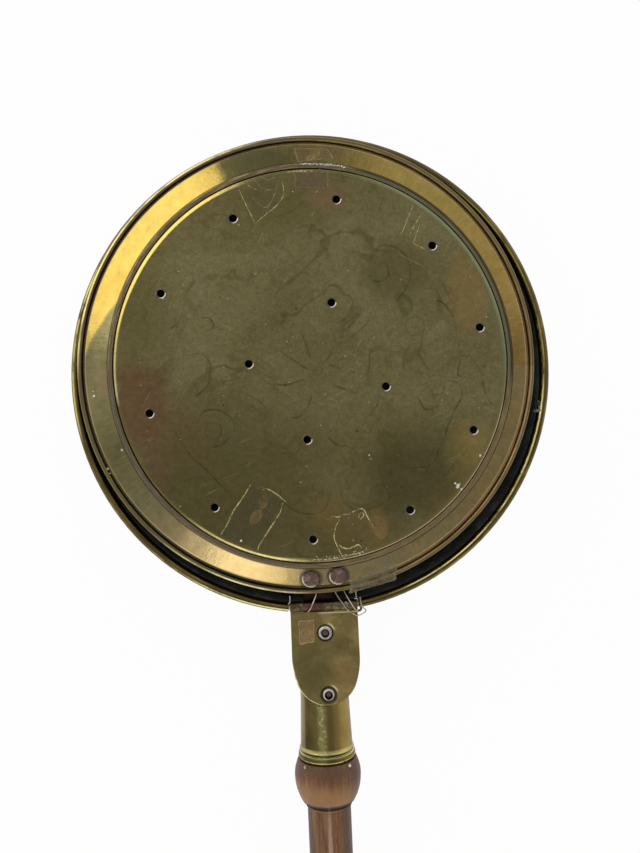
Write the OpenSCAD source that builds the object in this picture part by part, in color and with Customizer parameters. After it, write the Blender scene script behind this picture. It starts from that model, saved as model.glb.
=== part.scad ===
// Brass bed warming pan: a lidded pan on a long turned handle.
// The pan stands on its base at z = 0, centred on the origin, with the handle along -Y.

/* [Pan] */
// Outer diameter over the rolled rim
rim_d = 300; // [260:1:340]
// Height from the base to the top of the rim
pan_h = 76; // [66:1:95]
// Thickness of the pan's brass sheet
pan_sheet = 1.2; // [0.9:0.1:1.6]
// Diameter of the iron wire inside the pan's rim
rim_wire_d = 2.4; // [1.6:0.1:2.6]
// Lean of the pan's wall from upright, in degrees
wall_lean = 13.5; // [8:0.5:18]
// Outside radius of the bend between base and wall
base_bend_r = 22; // [14:1:26]

/* [Hinge] */
// Distance of the hinge axis inside the rim's centre line
hinge_inset = 1.7; // [1.4:0.1:2.4]
// Depth of the hinge axis below the top of the rim
hinge_drop = 2.9; // [2.5:0.1:3.4]
// Sideways place of the hinge plate
hinge_x = 2.1; // [-3:0.1:4]
// Outer diameter of the rolled knuckles
knuckle_d = 6.4; // [6:0.1:7]
// Thickness of the sheet rolled into knuckles
hinge_sheet = 1.5; // [1.2:0.1:1.7]
// Width of the lid strap's knuckle
strap_knuckle_w = 18.2; // [14:0.2:20]
// Distance of the strap's knuckle left of the plate's middle
strap_knuckle_left = 3.3; // [0:0.1:4]
// Gap at each end of the strap's knuckle
knuckle_end_gap = 0.3; // [0.3:0.05:0.5]
// Radial clearance of the hinge pin
pin_clearance = 0.08; // [0.05:0.01:0.1]
// How far the pin stands out at each end
pin_proud = 0.6; // [0.2:0.1:1]

/* [Hinge plate] */
// Width of the shield-shaped plate
plate_w = 42.4; // [38:0.2:46]
// Length of the plate from the hinge axis
plate_len = 60.6; // [57:0.2:66]
// Length of the plate's rounded end
shield_len = 29; // [26:0.2:32]
// Radius of the long curves beside the rounded end
shield_side_r = 46.5; // [42:0.5:52]
// Distance of the first blind rivet from the hinge axis
rivet_near = 17; // [15:0.2:20]
// Distance of the second blind rivet from the hinge axis
rivet_far = 54.2; // [50:0.2:56]
// Diameter of the first blind rivet's ring
ring_near_d = 8.8; // [8:0.1:9.2]
// Diameter of the second blind rivet's ring
ring_far_d = 7.4; // [7:0.1:9]
// Diameter of the dimple around each blind rivet
dimple_d = 10.6; // [10:0.1:12]
// Depth of the dimple
dimple_depth = 0.6; // [0.3:0.05:0.8]

/* [Lid] */
// Distance of the lid's edge wire inside the rim's centre line, when centred
lid_inset = 7; // [6:0.1:8]
// How far the loose hinge lets the lid sit off centre, away from the handle
lid_shift = 5.2; // [4.4:0.1:6]
// Skew of the lid on its loose hinge, in degrees
lid_yaw = 1.7; // [0:0.1:2.5]
// Thickness of the lid's brass sheet
lid_sheet = 0.7; // [0.6:0.05:0.9]
// Diameter of the iron wire inside the lid's edge
lid_wire_d = 1.8; // [1.6:0.1:2]
// Gap between the lid's edge and the rim where it rests
lid_rest_gap = 0.3; // [0.3:0.05:0.6]
// Lean of the steep cove from upright, in degrees
cove_lean = 43; // [38:1:46]
// Radius where the cove turns into the band
cove_bend_r = 2; // [1.5:0.1:2.5]
// Height of the band's outer corner above the lid's edge
band_rise = 3.6; // [3.2:0.1:4]
// Width of the sloping band
band_w = 12.3; // [11:0.1:13.5]
// Slope of the band, in degrees
band_slope = 17; // [14:0.5:19]

/* [Lid panel] */
// Sideways place of the panel in the lid
panel_dx = 2.9; // [0:0.1:3.2]
// Place of the panel along the handle's line
panel_dy = -1.3; // [-1.5:0.1:1]
// Half the width of the ridge around the panel
ridge_r = 1.6; // [1.4:0.05:1.8]
// Height of the ridge above the band
ridge_h = 1; // [0.9:0.05:1.2]
// Radius of the ridge's nearly flat top
ridge_top_r = 4.5; // [3.5:0.1:6]
// Width of the groove between ridge and panel
groove_w = 0.8; // [0.7:0.05:1.1]
// Height of the panel's flat above the groove's floor
panel_h = 3.5; // [3:0.1:4.5]
// Width of the panel's sloping edge
panel_edge_w = 2.4; // [1.8:0.1:3]
// Slope of that edge at its outside, in degrees
panel_edge_slope = 25; // [20:1:35]
// Rise of the panel's middle
panel_crown = 1.4; // [0.8:0.1:2.5]
// Width of the ledge that carries the panel
ledge_w = 4.6; // [4:0.1:6]
// Diameter of the vent holes
vent_d = 4.7; // [3.5:0.1:6]
// Distance of the outer ring of vents inside the panel's edge
vent_inset = 16; // [14:0.5:26]
// Radius of the inner ring of vents
vent_inner_r = 42.2; // [36:0.2:50]
// Number of vents in the outer ring
vent_outer_n = 10; // [6:1:12]
// Number of vents in the inner ring
vent_inner_n = 4; // [3:1:6]

/* [Lid strap] */
// Distance between the lid's two rivets
lid_rivet_gap = 16.8; // [14:0.2:18]
// Distance of the lid's rivets from the hinge axis
lid_rivet_y = 19.8; // [19:0.1:20.4]
// How much further from that axis the right rivet is than their middle
lid_rivet_skew = 0.3; // [0:0.05:0.5]
// Sideways place of the rivet pair in the lid
lid_rivet_x = 2; // [0:0.1:2.4]
// Diameter of the copper rivet heads
lid_rivet_head_d = 11.7; // [10:0.1:12]
// Thickness of the copper rivet heads
lid_rivet_head_h = 1.1; // [0.8:0.1:1.6]
// Diameter of the copper rivets' shanks
lid_rivet_d = 4.6; // [3.6:0.1:5.2]
// Diameter of the washers under the strap
burr_d = 8.6; // [8:0.1:9.4]
// Thickness of those washers
burr_t = 0.9; // [0.6:0.1:1.2]

/* [Bracket] */
// Thickness of the iron saddle on the pan's wall
saddle_t = 2; // [1.6:0.1:3]
// Width of the saddle
saddle_w = 56; // [54:1:64]
// Height of the saddle's lower edge
saddle_low = 27; // [25:1:30]
// Depth of the saddle's upper edge below the top of the rim
saddle_drop = 11; // [10:0.5:13]
// Sideways distance between the saddle's rivets
saddle_rivet_gap = 42; // [40:1:44]
// Diameter of the saddle's rivets
saddle_rivet_d = 4.8; // [4:0.1:5.5]
// Length of the boss inside the ferrule
boss_len = 28; // [24:0.5:30]

/* [Ferrule] */
// Rise of the handle, in degrees
handle_rise = 6; // [4:0.5:7]
// Diameter of the ferrule under the hinge
ferrule_front_d = 26.8; // [25:0.2:28]
// Diameter of the ferrule before its bead
ferrule_back_d = 33.6; // [32:0.2:34]
// Length of the ferrule from under the hinge to its mouth
ferrule_len = 96.2; // [90:0.2:100]
// Thickness of the ferrule's wall
ferrule_wall = 2; // [1.6:0.1:2.4]
// Depth of the flat hammered on the ferrule for the plate
seat_flat = 0.7; // [0.4:0.05:0.8]
// Diameter over the ferrule's bead
ferrule_bead_d = 36.4; // [35.6:0.2:38]
// Thickness of the ferrule's bead
ferrule_bead_t = 5; // [4.4:0.1:5.6]

/* [Handle] */
// Diameter of the wooden ball
ball_d = 42.1; // [40:0.1:44]
// Distance of the ball's thickest part from the ferrule's mouth
ball_at = 10.2; // [9.6:0.1:12]
// Curve of the ball towards the ferrule
ball_front_r = 21; // [19:0.5:26]
// Curve of the ball away from the ferrule
ball_back_r = 28; // [25:0.5:36]
// Distance of the ball's end from the ferrule's mouth
ball_end = 25; // [23:0.2:27]
// Length of the cove after the ball
cove_len = 3.8; // [3.5:0.1:5]
// Diameter of the handle's shaft at the ball
shaft_d = 27.4; // [25:0.1:28]
// Diameter of the shaft where the hand holds it
grip_d = 23; // [21:0.2:26]
// Distance of the grip's end ring from the ferrule's mouth
grip_end = 550; // [300:5:700]
// Length of the turned knob at the end
knob_len = 90; // [80:1:100]
// Diameter of the turned knob
knob_d = 33; // [30:0.2:36]
// Diameter of the hole for hanging
hang_hole_d = 6.4; // [5:0.1:8]

/* [Wires and small parts] */
// Diameter of the thin tie wires
tie_wire_d = 0.8; // [0.6:0.05:0.9]
// Diameter of the handle nails' heads
nail_head_d = 2.2; // [1.8:0.1:3]

/* [Hidden] */
// Round quality, and its value for the widest arcs
$fn = 96;
fine = 240;

// Thin clearance between pieces that are fixed to each other
fit = 0.05;
// Room that the moving strap and its wire keep from what stays still
sweep_gap = 0.4;

// Rim: outer radius of the bead, and the place of its centre
bead_r = rim_wire_d / 2 + pan_sheet;
rim_c = rim_d / 2 - bead_r;
rim_z = pan_h - bead_r;
// Radius of the wall's outside at height z, moved out by d
function wall_r(z, d = 0) =
    rim_c - rim_wire_d / 2 * cos(wall_lean)
    - (rim_z + rim_wire_d / 2 * sin(wall_lean) - z) * tan(wall_lean)
    + d / cos(wall_lean);
bend_c = wall_r(base_bend_r) - base_bend_r / cos(wall_lean);

// Hinge axis, and the radii about it
hinge_y = rim_c - hinge_inset;
hinge_z = pan_h - hinge_drop;
knuckle_r = knuckle_d / 2;
knuckle_bore_r = knuckle_r - hinge_sheet;
pin_r = knuckle_bore_r - pin_clearance;
sweep_r = knuckle_r + tie_wire_d + sweep_gap;
strap_left = -strap_knuckle_left - strap_knuckle_w / 2;
strap_right = strap_left + strap_knuckle_w;
notch_side_gap = 1.2;
notch_floor = hinge_z - sweep_r;

// Handle line: the ferrule's cone, and its place under the plate
ferrule_half = atan((ferrule_back_d - ferrule_front_d) / 2 / ferrule_len);
plate_slope = handle_rise + ferrule_half;
handle_drop = ferrule_front_d / 2 - seat_flat + knuckle_r / cos(ferrule_half);
handle_y = hinge_y + handle_drop * sin(handle_rise);
handle_z = hinge_z - handle_drop * cos(handle_rise);
function ferrule_r(s, d = 0) = ferrule_front_d / 2 + s * tan(ferrule_half) + d;
bore_fit = 0.1;

// Shield outline: where its side curves start, and the tip that meets them
shield_u = plate_len - shield_len;
side_c = shield_side_r - plate_w / 2;
tip_r = (pow(shield_side_r, 2) - pow(side_c, 2) - pow(shield_len, 2)) / 2 / (shield_side_r - shield_len);
tip_u = plate_len - tip_r;
tip_join = tip_u + tip_r * (tip_u - shield_u) / (shield_side_r - tip_r);

// Blind rivets: [distance, sideways place, ring diameter, core diameter]
rivet_spots = [[rivet_near, 0.2, ring_near_d, 4.6], [rivet_far, 0.7, ring_far_d, 3.8]];
blind_r = 2.4;
blind_depth = 7;
blind_bulb_r = 3.1;
blind_ring_h = 1.3;
blind_recess = 0.35;
stem_r = 1.3;

// Saddle: its upper edge, and the distance of its rivets from its edges
saddle_high = pan_h - saddle_drop;
saddle_rivet_edge = 6;

// Height of the strap's washers, from the band's top
burr_top = -lid_sheet - hinge_sheet - 3 * fit;

// Height of a wire's middle where it lies on top of the knuckles
over_knuckle = knuckle_r + tie_wire_d / 2 + fit;

// Length of a cutter that goes right through
through = 30;

// Lid: edge roll, cove and band
lid_edge_r = rim_c - lid_inset;
lid_roll_r = lid_wire_d / 2 + lid_sheet;
lid_edge_z = pan_h + lid_rest_gap + lid_roll_r;
lid_reach = hinge_y + lid_shift;
cove_foot = [lid_edge_r, 0] - lid_wire_d / 2 * [cos(cove_lean), sin(cove_lean)];
cove_turn = 90 - cove_lean - band_slope;
cove_tangent = cove_bend_r * tan(cove_turn / 2);
band_r0 = cove_foot[0] - (band_rise - cove_foot[1]) * tan(cove_lean);
function cone_z(r) = band_rise + (band_r0 - r) * tan(band_slope);

// Panel: its ring on the band's cone, tilted so that it lies on it
ridge_c = band_r0 - band_w - ridge_r;
panel_r = ridge_c - ridge_r - groove_w;
panel_z = cone_z(ridge_c + ridge_r);
panel_off = norm([panel_dx, panel_dy]);
panel_tilt = atan(tan(band_slope) * panel_off / ridge_c);
ledge_z = ridge_h - 2.6;
ridge_wall = 0.8;
shoulder_r = 0.55;
shoulder_turn = acos((ridge_r - shoulder_r) / (ridge_top_r - shoulder_r));
band_inner_r = ridge_c - panel_off - 2 * ridge_r;
vent_outer_r = panel_r - vent_inset;
// How far each hand-punched vent strays round its ring, in degrees
outer_stray = [-2.6, -2.9, 0.9, 1.8, 2.9, 4.3, 5, 1.9, -3.3, -2.8, 0, 2];
inner_stray = [-0.2, -2, 1.9, 5.1, 0, 2];
outer_first = 81;
inner_first = 75;
outer_centre = [2.3, -2];
inner_centre = [4.4, -3.5];

// Handle, from the ferrule's mouth
spigot_start = boss_len + 2;
ball_r = ball_d / 2;
ball_end_r = ball_r - ball_back_r + sqrt(pow(ball_back_r, 2) - pow(ball_end - ball_at, 2));
shaft_start = ball_end + cove_len;
// [distance before the shaft, radius over the shaft] of the cove and lip after the ball
lip_profile = [[cove_len - 0.4, ball_end_r - shaft_d / 2 - 0.7], [cove_len - 0.8, 1.6], [cove_len - 1.2, 0],
    [1.9, -0.3], [1.5, 0.4], [1.2, 0.85], [0.5, 0.85], [0, 0]];
// [distance from the grip's end, radius over the grip] of the rings before the knob
ring_profile = [[0, 0], [1.5, 2.6], [4, 3.4], [6.5, 2.6], [8, -1], [10, -1], [12, 1.6], [15, 1.6]];
knob_start = grip_end + 26;
knob_r = knob_d / 2;
neck_r = 9.5;
knob_half = (knob_len - neck_r) / 2;
knob_mid = knob_start + knob_half;
knob_arc = (pow(knob_half, 2) + pow(knob_r - neck_r, 2)) / 2 / (knob_r - neck_r);
hang_at = knob_start + knob_len - 17;
// Nails: turn from the handle's top, distance from the mouth, and their size
nail_turn = 44;
nail_s = 1.2;
nail_r = 0.8;
nail_len = 12;
// The ball's radius at a distance from the mouth, on its side towards the ferrule
function ball_front(s) = ball_r - ball_front_r + sqrt(pow(ball_front_r, 2) - pow(ball_at - s, 2));

// Points along an arc from angle a0 to a1
function arc(c, r, a0, a1, n = 10) =
    [for (i = [0:n]) c + r * [cos(a0 + (a1 - a0) * i / n), sin(a0 + (a1 - a0) * i / n)]];
function back(list) = [for (i = [len(list) - 1:-1:0]) list[i]];

// A point on a smooth curve through p1 and p2, with p0 and p3 as its neighbours
function through(p0, p1, p2, p3, t) =
    0.5 * (2 * p1 + (p2 - p0) * t + (2 * p0 - 5 * p1 + 4 * p2 - p3) * t * t
    + (3 * p1 - p0 - 3 * p2 + p3) * t * t * t);
function smooth_path(p, n) = [
    for (i = [0:len(p) - 2]) for (k = [0:n - 1])
        through(p[max(i - 1, 0)], p[i], p[i + 1], p[min(i + 2, len(p) - 1)], k / n),
    p[len(p) - 1]
];
function unit(v) = v / norm(v);
function heading(p, i) = unit(p[min(i + 1, len(p) - 1)] - p[max(i - 1, 0)]);
// Sideways directions carried along the path without twisting
function carried(p, i, side) =
    i == len(p) ? [] :
    let (d = heading(p, i), flat = unit(side - (side * d) * d))
        concat([flat], carried(p, i + 1, flat));

// A bent wire of diameter d along the points
module bent_wire(points, d, sides = 8) {
    path = smooth_path(points, 4);
    side = carried(path, 0, [0.1, 0.2, 1]);
    rings = [
        for (i = [0:len(path) - 1]) let (a = side[i], b = cross(heading(path, i), a))
            for (k = [0:sides - 1]) path[i] + d / 2 * (a * cos(360 * k / sides) + b * sin(360 * k / sides))
    ];
    last = (len(path) - 1) * sides;
    polyhedron(rings, concat(
        [[for (k = [0:sides - 1]) k]],
        [for (i = [0:len(path) - 2]) for (k = [0:sides - 1]) let (q = i * sides, n = (k + 1) % sides)
            [q + k, q + sides + k, q + sides + n]],
        [for (i = [0:len(path) - 2]) for (k = [0:sides - 1]) let (q = i * sides, n = (k + 1) % sides)
            [q + k, q + sides + n, q + n]],
        [[for (k = [sides - 1:-1:0]) last + k]]
    ));
}

// ---- Frames ----

// The hinge axis, with X along it
module at_hinge() {
    translate([hinge_x, -hinge_y, hinge_z]) children();
}

// The plate: origin on the hinge axis, -Y along the plate, Z square to it
module on_plate() {
    at_hinge() rotate([-plate_slope, 0, 0]) children();
}

// The handle's line: Z runs out along the handle, Y points up
module along_handle() {
    translate([0, -handle_y, handle_z]) rotate([90 - handle_rise, 0, 0]) children();
}

// The lid: origin at the middle of its edge wire
module on_lid() {
    translate([hinge_x, -hinge_y, lid_edge_z]) rotate([0, 0, lid_yaw]) translate([0, lid_reach, 0]) children();
}

// The panel: on the band's cone, off centre and tilted to lie on it
module on_panel_seat() {
    translate([panel_dx, panel_dy, panel_z]) rotate(a = panel_tilt, v = [-panel_dy, panel_dx, 0]) children();
}

// A spot on the lid's band, Z square to its slope
module on_band(x, y) {
    r = norm([x, y]);
    rotate([0, 0, atan2(y, x)]) translate([r, 0, cone_z(r)]) rotate([0, band_slope, 0]) children();
}

// The lid's two rivets
module at_lid_rivet(side) {
    on_lid() on_band(lid_rivet_x + side * lid_rivet_gap / 2, lid_rivet_y + side * lid_rivet_skew - lid_reach)
        children();
}

// The saddle's four rivets, Z square to the wall and outwards
module at_saddle_rivets() {
    for (side = [-1, 1]) for (z = [saddle_low + saddle_rivet_edge, saddle_high - saddle_rivet_edge])
        rotate([0, 0, -90 + side * asin(saddle_rivet_gap / 2 / wall_r(z))])
            translate([wall_r(z), 0, z]) rotate([0, 90 + wall_lean, 0]) children();
}

// The blind rivets in the plate
module at_blind_rivet(spot) {
    on_plate() translate([spot[1], -spot[0], -knuckle_r + hinge_sheet - dimple_depth]) children();
}

// ---- Pan ----

// The pan's outline up to its rim, moved in by d
module pan_outline(d) {
    foot = [bend_c, base_bend_r] + (base_bend_r - d) * [cos(wall_lean), -sin(wall_lean)];
    rim = [rim_c, rim_z];
    lip = rim + (rim_wire_d / 2 + d) * [-cos(wall_lean), sin(wall_lean)];
    edge = rim + bead_r * [-cos(wall_lean), sin(wall_lean)];
    polygon([[0, d], [bend_c, d], foot, lip, edge, [0, edge[1] + d]]);
    translate([bend_c, base_bend_r]) circle(base_bend_r - d);
}

// Section of a sheet rolled round a wire, open between two angles
module roll(c, wire_r, outer_r, open_from, open_to) {
    difference() {
        translate(c) circle(outer_r);
        translate(c) circle(wire_r);
        polygon(concat([c], arc(c, outer_r * 2, open_from, open_to, 3)));
    }
}

module pan_body() {
    color("darkgoldenrod") difference() {
        rotate_extrude($fn = fine) {
            difference() {
                pan_outline(0);
                pan_outline(pan_sheet);
            }
            roll([rim_c, rim_z], rim_wire_d / 2, bead_r, 190, 225);
        }
        rim_notch();
        at_saddle_rivets() cylinder(h = through, r = saddle_rivet_d / 2 + fit, center = true);
        at_hinge() strap_sweep();
    }
}

// The gap cut in the rim for the hinge
module rim_notch() {
    w = plate_w + 2 * notch_side_gap;
    outside = 2 * bead_r;
    inside = 2 * knuckle_d;
    translate([hinge_x - w / 2, -rim_c - outside, notch_floor]) cube([w, outside + inside, pan_h]);
}

// Room round the hinge axis for the strap's knuckle and the wire on it
module strap_sweep() {
    translate([strap_left - knuckle_end_gap, 0, 0]) rotate([0, 90, 0])
        cylinder(h = strap_knuckle_w + 2 * knuckle_end_gap, r = sweep_r);
}

module pan_rim_wire() {
    color("dimgray") difference() {
        rotate_extrude($fn = fine) translate([rim_c, rim_z]) circle(rim_wire_d / 2 - fit);
        rim_notch();
    }
}

// ---- Bracket and ferrule ----

// Everything inside the wall's outside, moved out by d
module inside_wall(d) {
    rotate_extrude($fn = fine)
        polygon([[0, 0], [wall_r(0, d), 0], [wall_r(pan_h + 10, d), pan_h + 10], [0, pan_h + 10]]);
}

module handle_bracket() {
    color("dimgray") difference() {
        union() {
            intersection() {
                rotate_extrude($fn = fine) polygon([
                    [wall_r(saddle_low, fit), saddle_low], [wall_r(saddle_low, saddle_t), saddle_low],
                    [wall_r(saddle_high, saddle_t), saddle_high], [wall_r(saddle_high, fit), saddle_high]
                ]);
                translate([-saddle_w / 2, -rim_d / 2, 0]) cube([saddle_w, rim_d / 2, pan_h]);
            }
            difference() {
                along_handle() translate([0, 0, -boss_len / 2])
                    cylinder(h = boss_len * 1.5, r1 = ferrule_r(-boss_len / 2, -ferrule_wall - bore_fit),
                        r2 = ferrule_r(boss_len, -ferrule_wall - bore_fit));
                inside_wall(saddle_t / 2);
            }
        }
        at_saddle_rivets() cylinder(h = through, r = saddle_rivet_d / 2 + fit, center = true);
        at_blind_rivet(rivet_spots[0]) blind_pocket();
        plate_underside();
        at_hinge() strap_sweep();
    }
}

// Room for the bulb of a blind rivet
module blind_pocket() {
    translate([0, 0, -blind_depth - 4]) cylinder(h = blind_depth + 4, r = blind_bulb_r + 0.3);
}

// Everything above the plate's underside, to just past its tip
module plate_underside() {
    past = 0.8;
    on_plate() translate([-plate_w, -plate_len - past, -knuckle_r]) cube([plate_w * 2, plate_len * 2, plate_len]);
}

module bracket_rivets() {
    head_r = saddle_rivet_d * 0.95;
    dome_r = head_r * 1.4;
    dome_h = 2;
    flat_h = 1.6;
    inner = -pan_sheet - 3 * fit;
    outer = saddle_t + 2 * fit;
    color("peru") at_saddle_rivets() {
        translate([0, 0, inner]) cylinder(h = outer - inner, r = saddle_rivet_d / 2);
        translate([0, 0, outer]) cylinder(h = flat_h, r1 = head_r * 0.85, r2 = head_r * 0.6);
        translate([0, 0, inner]) mirror([0, 0, 1]) rotate_extrude() intersection() {
            translate([0, dome_h - dome_r]) circle(dome_r);
            square([head_r, dome_h]);
        }
    }
}

module ferrule() {
    bead = ferrule_bead_t / 2;
    bead_c = [ferrule_bead_d / 2 - bead, ferrule_len - bead];
    front = -12;
    far = ferrule_len + 5;
    // [distance before the bead, height over the cone] of the flare, the thin ring and the groove
    flare = [[4.1, 0], [2.3, 0.3], [1.3, 0.8], [0.5, 0.8], [0.2, 0.2]];
    flare_end = ferrule_len - ferrule_bead_t;
    color("darkgoldenrod") difference() {
        along_handle() rotate_extrude() difference() {
            union() {
                polygon(concat(
                    [[0, front], [ferrule_r(front), front]],
                    [for (p = flare) [ferrule_r(flare_end - p[0], p[1]), flare_end - p[0]]],
                    [[ferrule_r(bead_c[1], 0.2), bead_c[1]], [bead_c[0], ferrule_len], [0, ferrule_len]]
                ));
                translate(bead_c) circle(bead);
            }
            polygon([[0, 2 * front], [ferrule_r(2 * front, -ferrule_wall), 2 * front],
                [ferrule_r(far, -ferrule_wall), far], [0, far]]);
        }
        inside_wall(saddle_t + 0.3);
        plate_underside();
        at_hinge() strap_sweep();
        for (spot = rivet_spots) at_blind_rivet(spot)
            cylinder(h = 2 * blind_depth, r = blind_r + fit, center = true);
    }
}

// ---- Hinge plate ----

// Shield outline of the plate, with its hinge end at the top
module shield() {
    intersection() {
        translate([-plate_w / 2, -tip_join]) square([plate_w, tip_join]);
        union() {
            translate([-plate_w / 2, -shield_u]) square([plate_w, shield_u]);
            intersection() {
                translate([-side_c, -shield_u]) circle(shield_side_r, $fn = fine);
                translate([side_c, -shield_u]) circle(shield_side_r, $fn = fine);
            }
        }
    }
    translate([0, -tip_u]) circle(tip_r);
}

// A knuckle rolled up from its strip, with a slit where the roll closes
module knuckle(from, width, slit_side) {
    difference() {
        translate([from, 0, 0]) rotate([0, 90, 0]) difference() {
            cylinder(h = width, r = knuckle_r);
            translate([0, 0, -1]) cylinder(h = width + 2, r = knuckle_bore_r);
        }
        slit = 0.5;
        reach = slit_side * knuckle_r * 1.5;
        translate([from - 1, min(0, reach), -knuckle_r + hinge_sheet]) cube([width + 2, abs(reach), slit]);
    }
}

module hinge_plate() {
    plate_left = -plate_w / 2;
    color("goldenrod") on_plate() difference() {
        union() {
            knuckle(plate_left, strap_left - knuckle_end_gap - plate_left, -1);
            knuckle(strap_right + knuckle_end_gap, plate_w / 2 - strap_right - knuckle_end_gap, -1);
            difference() {
                translate([0, 0, -knuckle_r]) linear_extrude(hinge_sheet) shield();
                strap_sweep();
                translate([plate_left - 1, 0, 0]) rotate([0, 90, 0]) cylinder(h = plate_w + 2, r = knuckle_bore_r);
            }
        }
        for (spot = rivet_spots) translate([spot[1], -spot[0], -knuckle_r]) {
            cylinder(h = hinge_sheet * 3, r = blind_r + fit, center = true);
            translate([0, 0, hinge_sheet - dimple_depth])
                cylinder(h = dimple_depth + 0.01, r1 = dimple_d / 2 - 0.7, r2 = dimple_d / 2);
        }
    }
}

// A blind rivet: rounded ring, tube and bulb, open down its middle
module blind_rivet(spot) {
    ring = blind_ring_h;
    ring_c = spot[2] / 2 - ring;
    bulb_h = 2.6;
    at_blind_rivet(spot) rotate_extrude() difference() {
        union() {
            square([ring_c, ring]);
            intersection() {
                translate([ring_c, 0]) circle(ring);
                square([ring_c + ring, ring]);
            }
            translate([0, -blind_depth + 1]) square([blind_r, blind_depth]);
            translate([0, -blind_depth]) square([blind_bulb_r, bulb_h]);
        }
        translate([0, -blind_depth - 1]) square([stem_r + fit, blind_depth + 3]);
        translate([0, blind_recess]) square([spot[3] / 2, ring]);
    }
}

module plate_rivet_upper() {
    color("silver") blind_rivet(rivet_spots[0]);
}

module plate_rivet_lower() {
    color("silver") blind_rivet(rivet_spots[1]);
}

// The broken-off steel stems inside the blind rivets
module rivet_stems() {
    color("saddlebrown") for (spot = rivet_spots) at_blind_rivet(spot) {
        translate([0, 0, -blind_depth]) cylinder(h = blind_depth + blind_recess + 0.4, r = stem_r);
        translate([0, 0, blind_recess + fit]) cylinder(h = 0.35, r = spot[3] / 2 - 0.5);
    }
}

// ---- Pin and wires ----

module hinge_pin() {
    color("gray") at_hinge() translate([-plate_w / 2 - pin_proud, 0, 0]) rotate([0, 90, 0])
        cylinder(h = plate_w + 2 * pin_proud, r = pin_r);
}

// Over the right knuckle, round a loop outside the rim, and back over the bead
module tie_wire_loop() {
    rim_over = hinge_drop + tie_wire_d / 2 + 0.15;
    color("silver") at_hinge() bent_wire([
        [7.2, 10.6, 1.6], [8.1, 7.5, 2.2], [10.2, 4.2, 3.4], [12, 1.6, over_knuckle + 0.1], [13.8, -1.2, over_knuckle],
        [16.2, -4, 2.1], [18.4, -6, 0.2], [20.4, -7.2, -0.25], [23, -6.8, 0.2], [26.2, -4.2, 2.2],
        [25.6, -2.4, rim_over], [23.9, -0.6, rim_over + 0.3], [23.2, 2.6, rim_over + 0.1], [23, 5, rim_over - 0.6]
    ], tie_wire_d);
}

// Over the right knuckle and down beside the plate's corner
module tie_wire_corner() {
    side = plate_w / 2 + tie_wire_d / 2 + 0.1;
    color("silver") at_hinge() bent_wire([
        [12.6, 10.4, 1.4], [13.6, 8, 2], [15.4, 4.6, 3.3], [17, 1.8, over_knuckle + 0.15], [18.6, -0.9, over_knuckle + 0.05],
        [20, -3, 3], [side, -4.4, 1.4], [side, -4.8, -1.2]
    ], tie_wire_d);
}

// Hooked over the strap's knuckle; it moves with the lid
module tie_wire_strap() {
    color("silver") at_hinge() bent_wire([
        [-3.4, 10.6, 1.4], [-4.4, 7.6, 2], [-5.8, 4.4, 3.1], [-7, 2, over_knuckle], [-8.2, -0.6, over_knuckle],
        [-9.6, -2.7, 2.5], [-10.4, -3.6, 0.9]
    ], tie_wire_d);
}

// ---- Handle ----

// Half section between two heights, under an arc whose centre is on the axis' other side
module under_arc(peak_r, at, arc_r, from, to) {
    intersection() {
        translate([peak_r - arc_r, at]) circle(arc_r, $fn = fine);
        translate([0, from]) square([peak_r + 1, to - from]);
    }
}

// The nails in the ball beside the ferrule's bead, Z outwards from the handle's line
module at_nail(side) {
    along_handle() rotate([0, 0, 90 - side * nail_turn])
        translate([ball_front(nail_s), 0, ferrule_len + nail_s]) rotate([0, 90, 0]) children();
}

module handle_shaft() {
    mouth = ferrule_len + fit;
    tip = knob_start + knob_len;
    color("sienna") difference() {
        along_handle() {
            rotate_extrude() {
                polygon([
                    [0, spigot_start], [ferrule_r(spigot_start, -ferrule_wall - bore_fit), spigot_start],
                    [ferrule_r(mouth, -ferrule_wall - bore_fit), mouth], [0, mouth]
                ]);
                translate([0, mouth]) {
                    under_arc(ball_r, ball_at, ball_front_r, 0, ball_at);
                    under_arc(ball_r, ball_at, ball_back_r, ball_at, ball_end);
                    polygon(concat(
                        [[0, ball_end], [ball_end_r - 0.5, ball_end]],
                        [for (p = lip_profile) [shaft_d / 2 + p[1], shaft_start - p[0]]],
                        [for (p = ring_profile) [grip_d / 2 + p[1], grip_end + p[0]]],
                        [[neck_r, knob_start - 8], [neck_r, knob_start], [0, knob_start]]
                    ));
                    under_arc(knob_r, knob_mid, knob_arc, knob_start, knob_mid + knob_half);
                    translate([0, knob_mid + knob_half]) intersection() {
                        circle(neck_r);
                        square(neck_r);
                    }
                }
            }
        }
        at_blind_rivet(rivet_spots[1]) blind_pocket();
        along_handle() translate([0, 0, mouth + hang_at]) rotate([90, 0, 0])
            cylinder(h = knob_d * 2, r = hang_hole_d / 2, center = true);
        for (side = [-1, 1]) at_nail(side) cylinder(h = 2 * nail_len, r = nail_r + fit, center = true);
    }
}

module handle_nails() {
    head_h = 0.5;
    lift = 0.75;
    color("silver") for (side = [-1, 1]) at_nail(side) {
        translate([0, 0, -nail_len + 1]) cylinder(h = nail_len - 1 + lift, r = nail_r);
        translate([0, 0, lift]) cylinder(h = head_h, r1 = nail_head_d / 2, r2 = nail_head_d / 2 - 0.3);
    }
}

// ---- Lid ----

// Points of the lid's cove and band at depth d under its outer face, from the edge inwards
function band_line(d) =
    let (
        foot = cove_foot - d * [cos(cove_lean), sin(cove_lean)],
        corner = [band_r0, band_rise],
        start = corner + cove_tangent * [sin(cove_lean), -cos(cove_lean)],
        c = start - cove_bend_r * [cos(cove_lean), sin(cove_lean)]
    ) concat(
        [foot],
        arc(c, cove_bend_r - d, cove_lean, 90 - band_slope, 5),
        [[band_inner_r, cone_z(band_inner_r) - d / cos(band_slope)]]
    );

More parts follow.
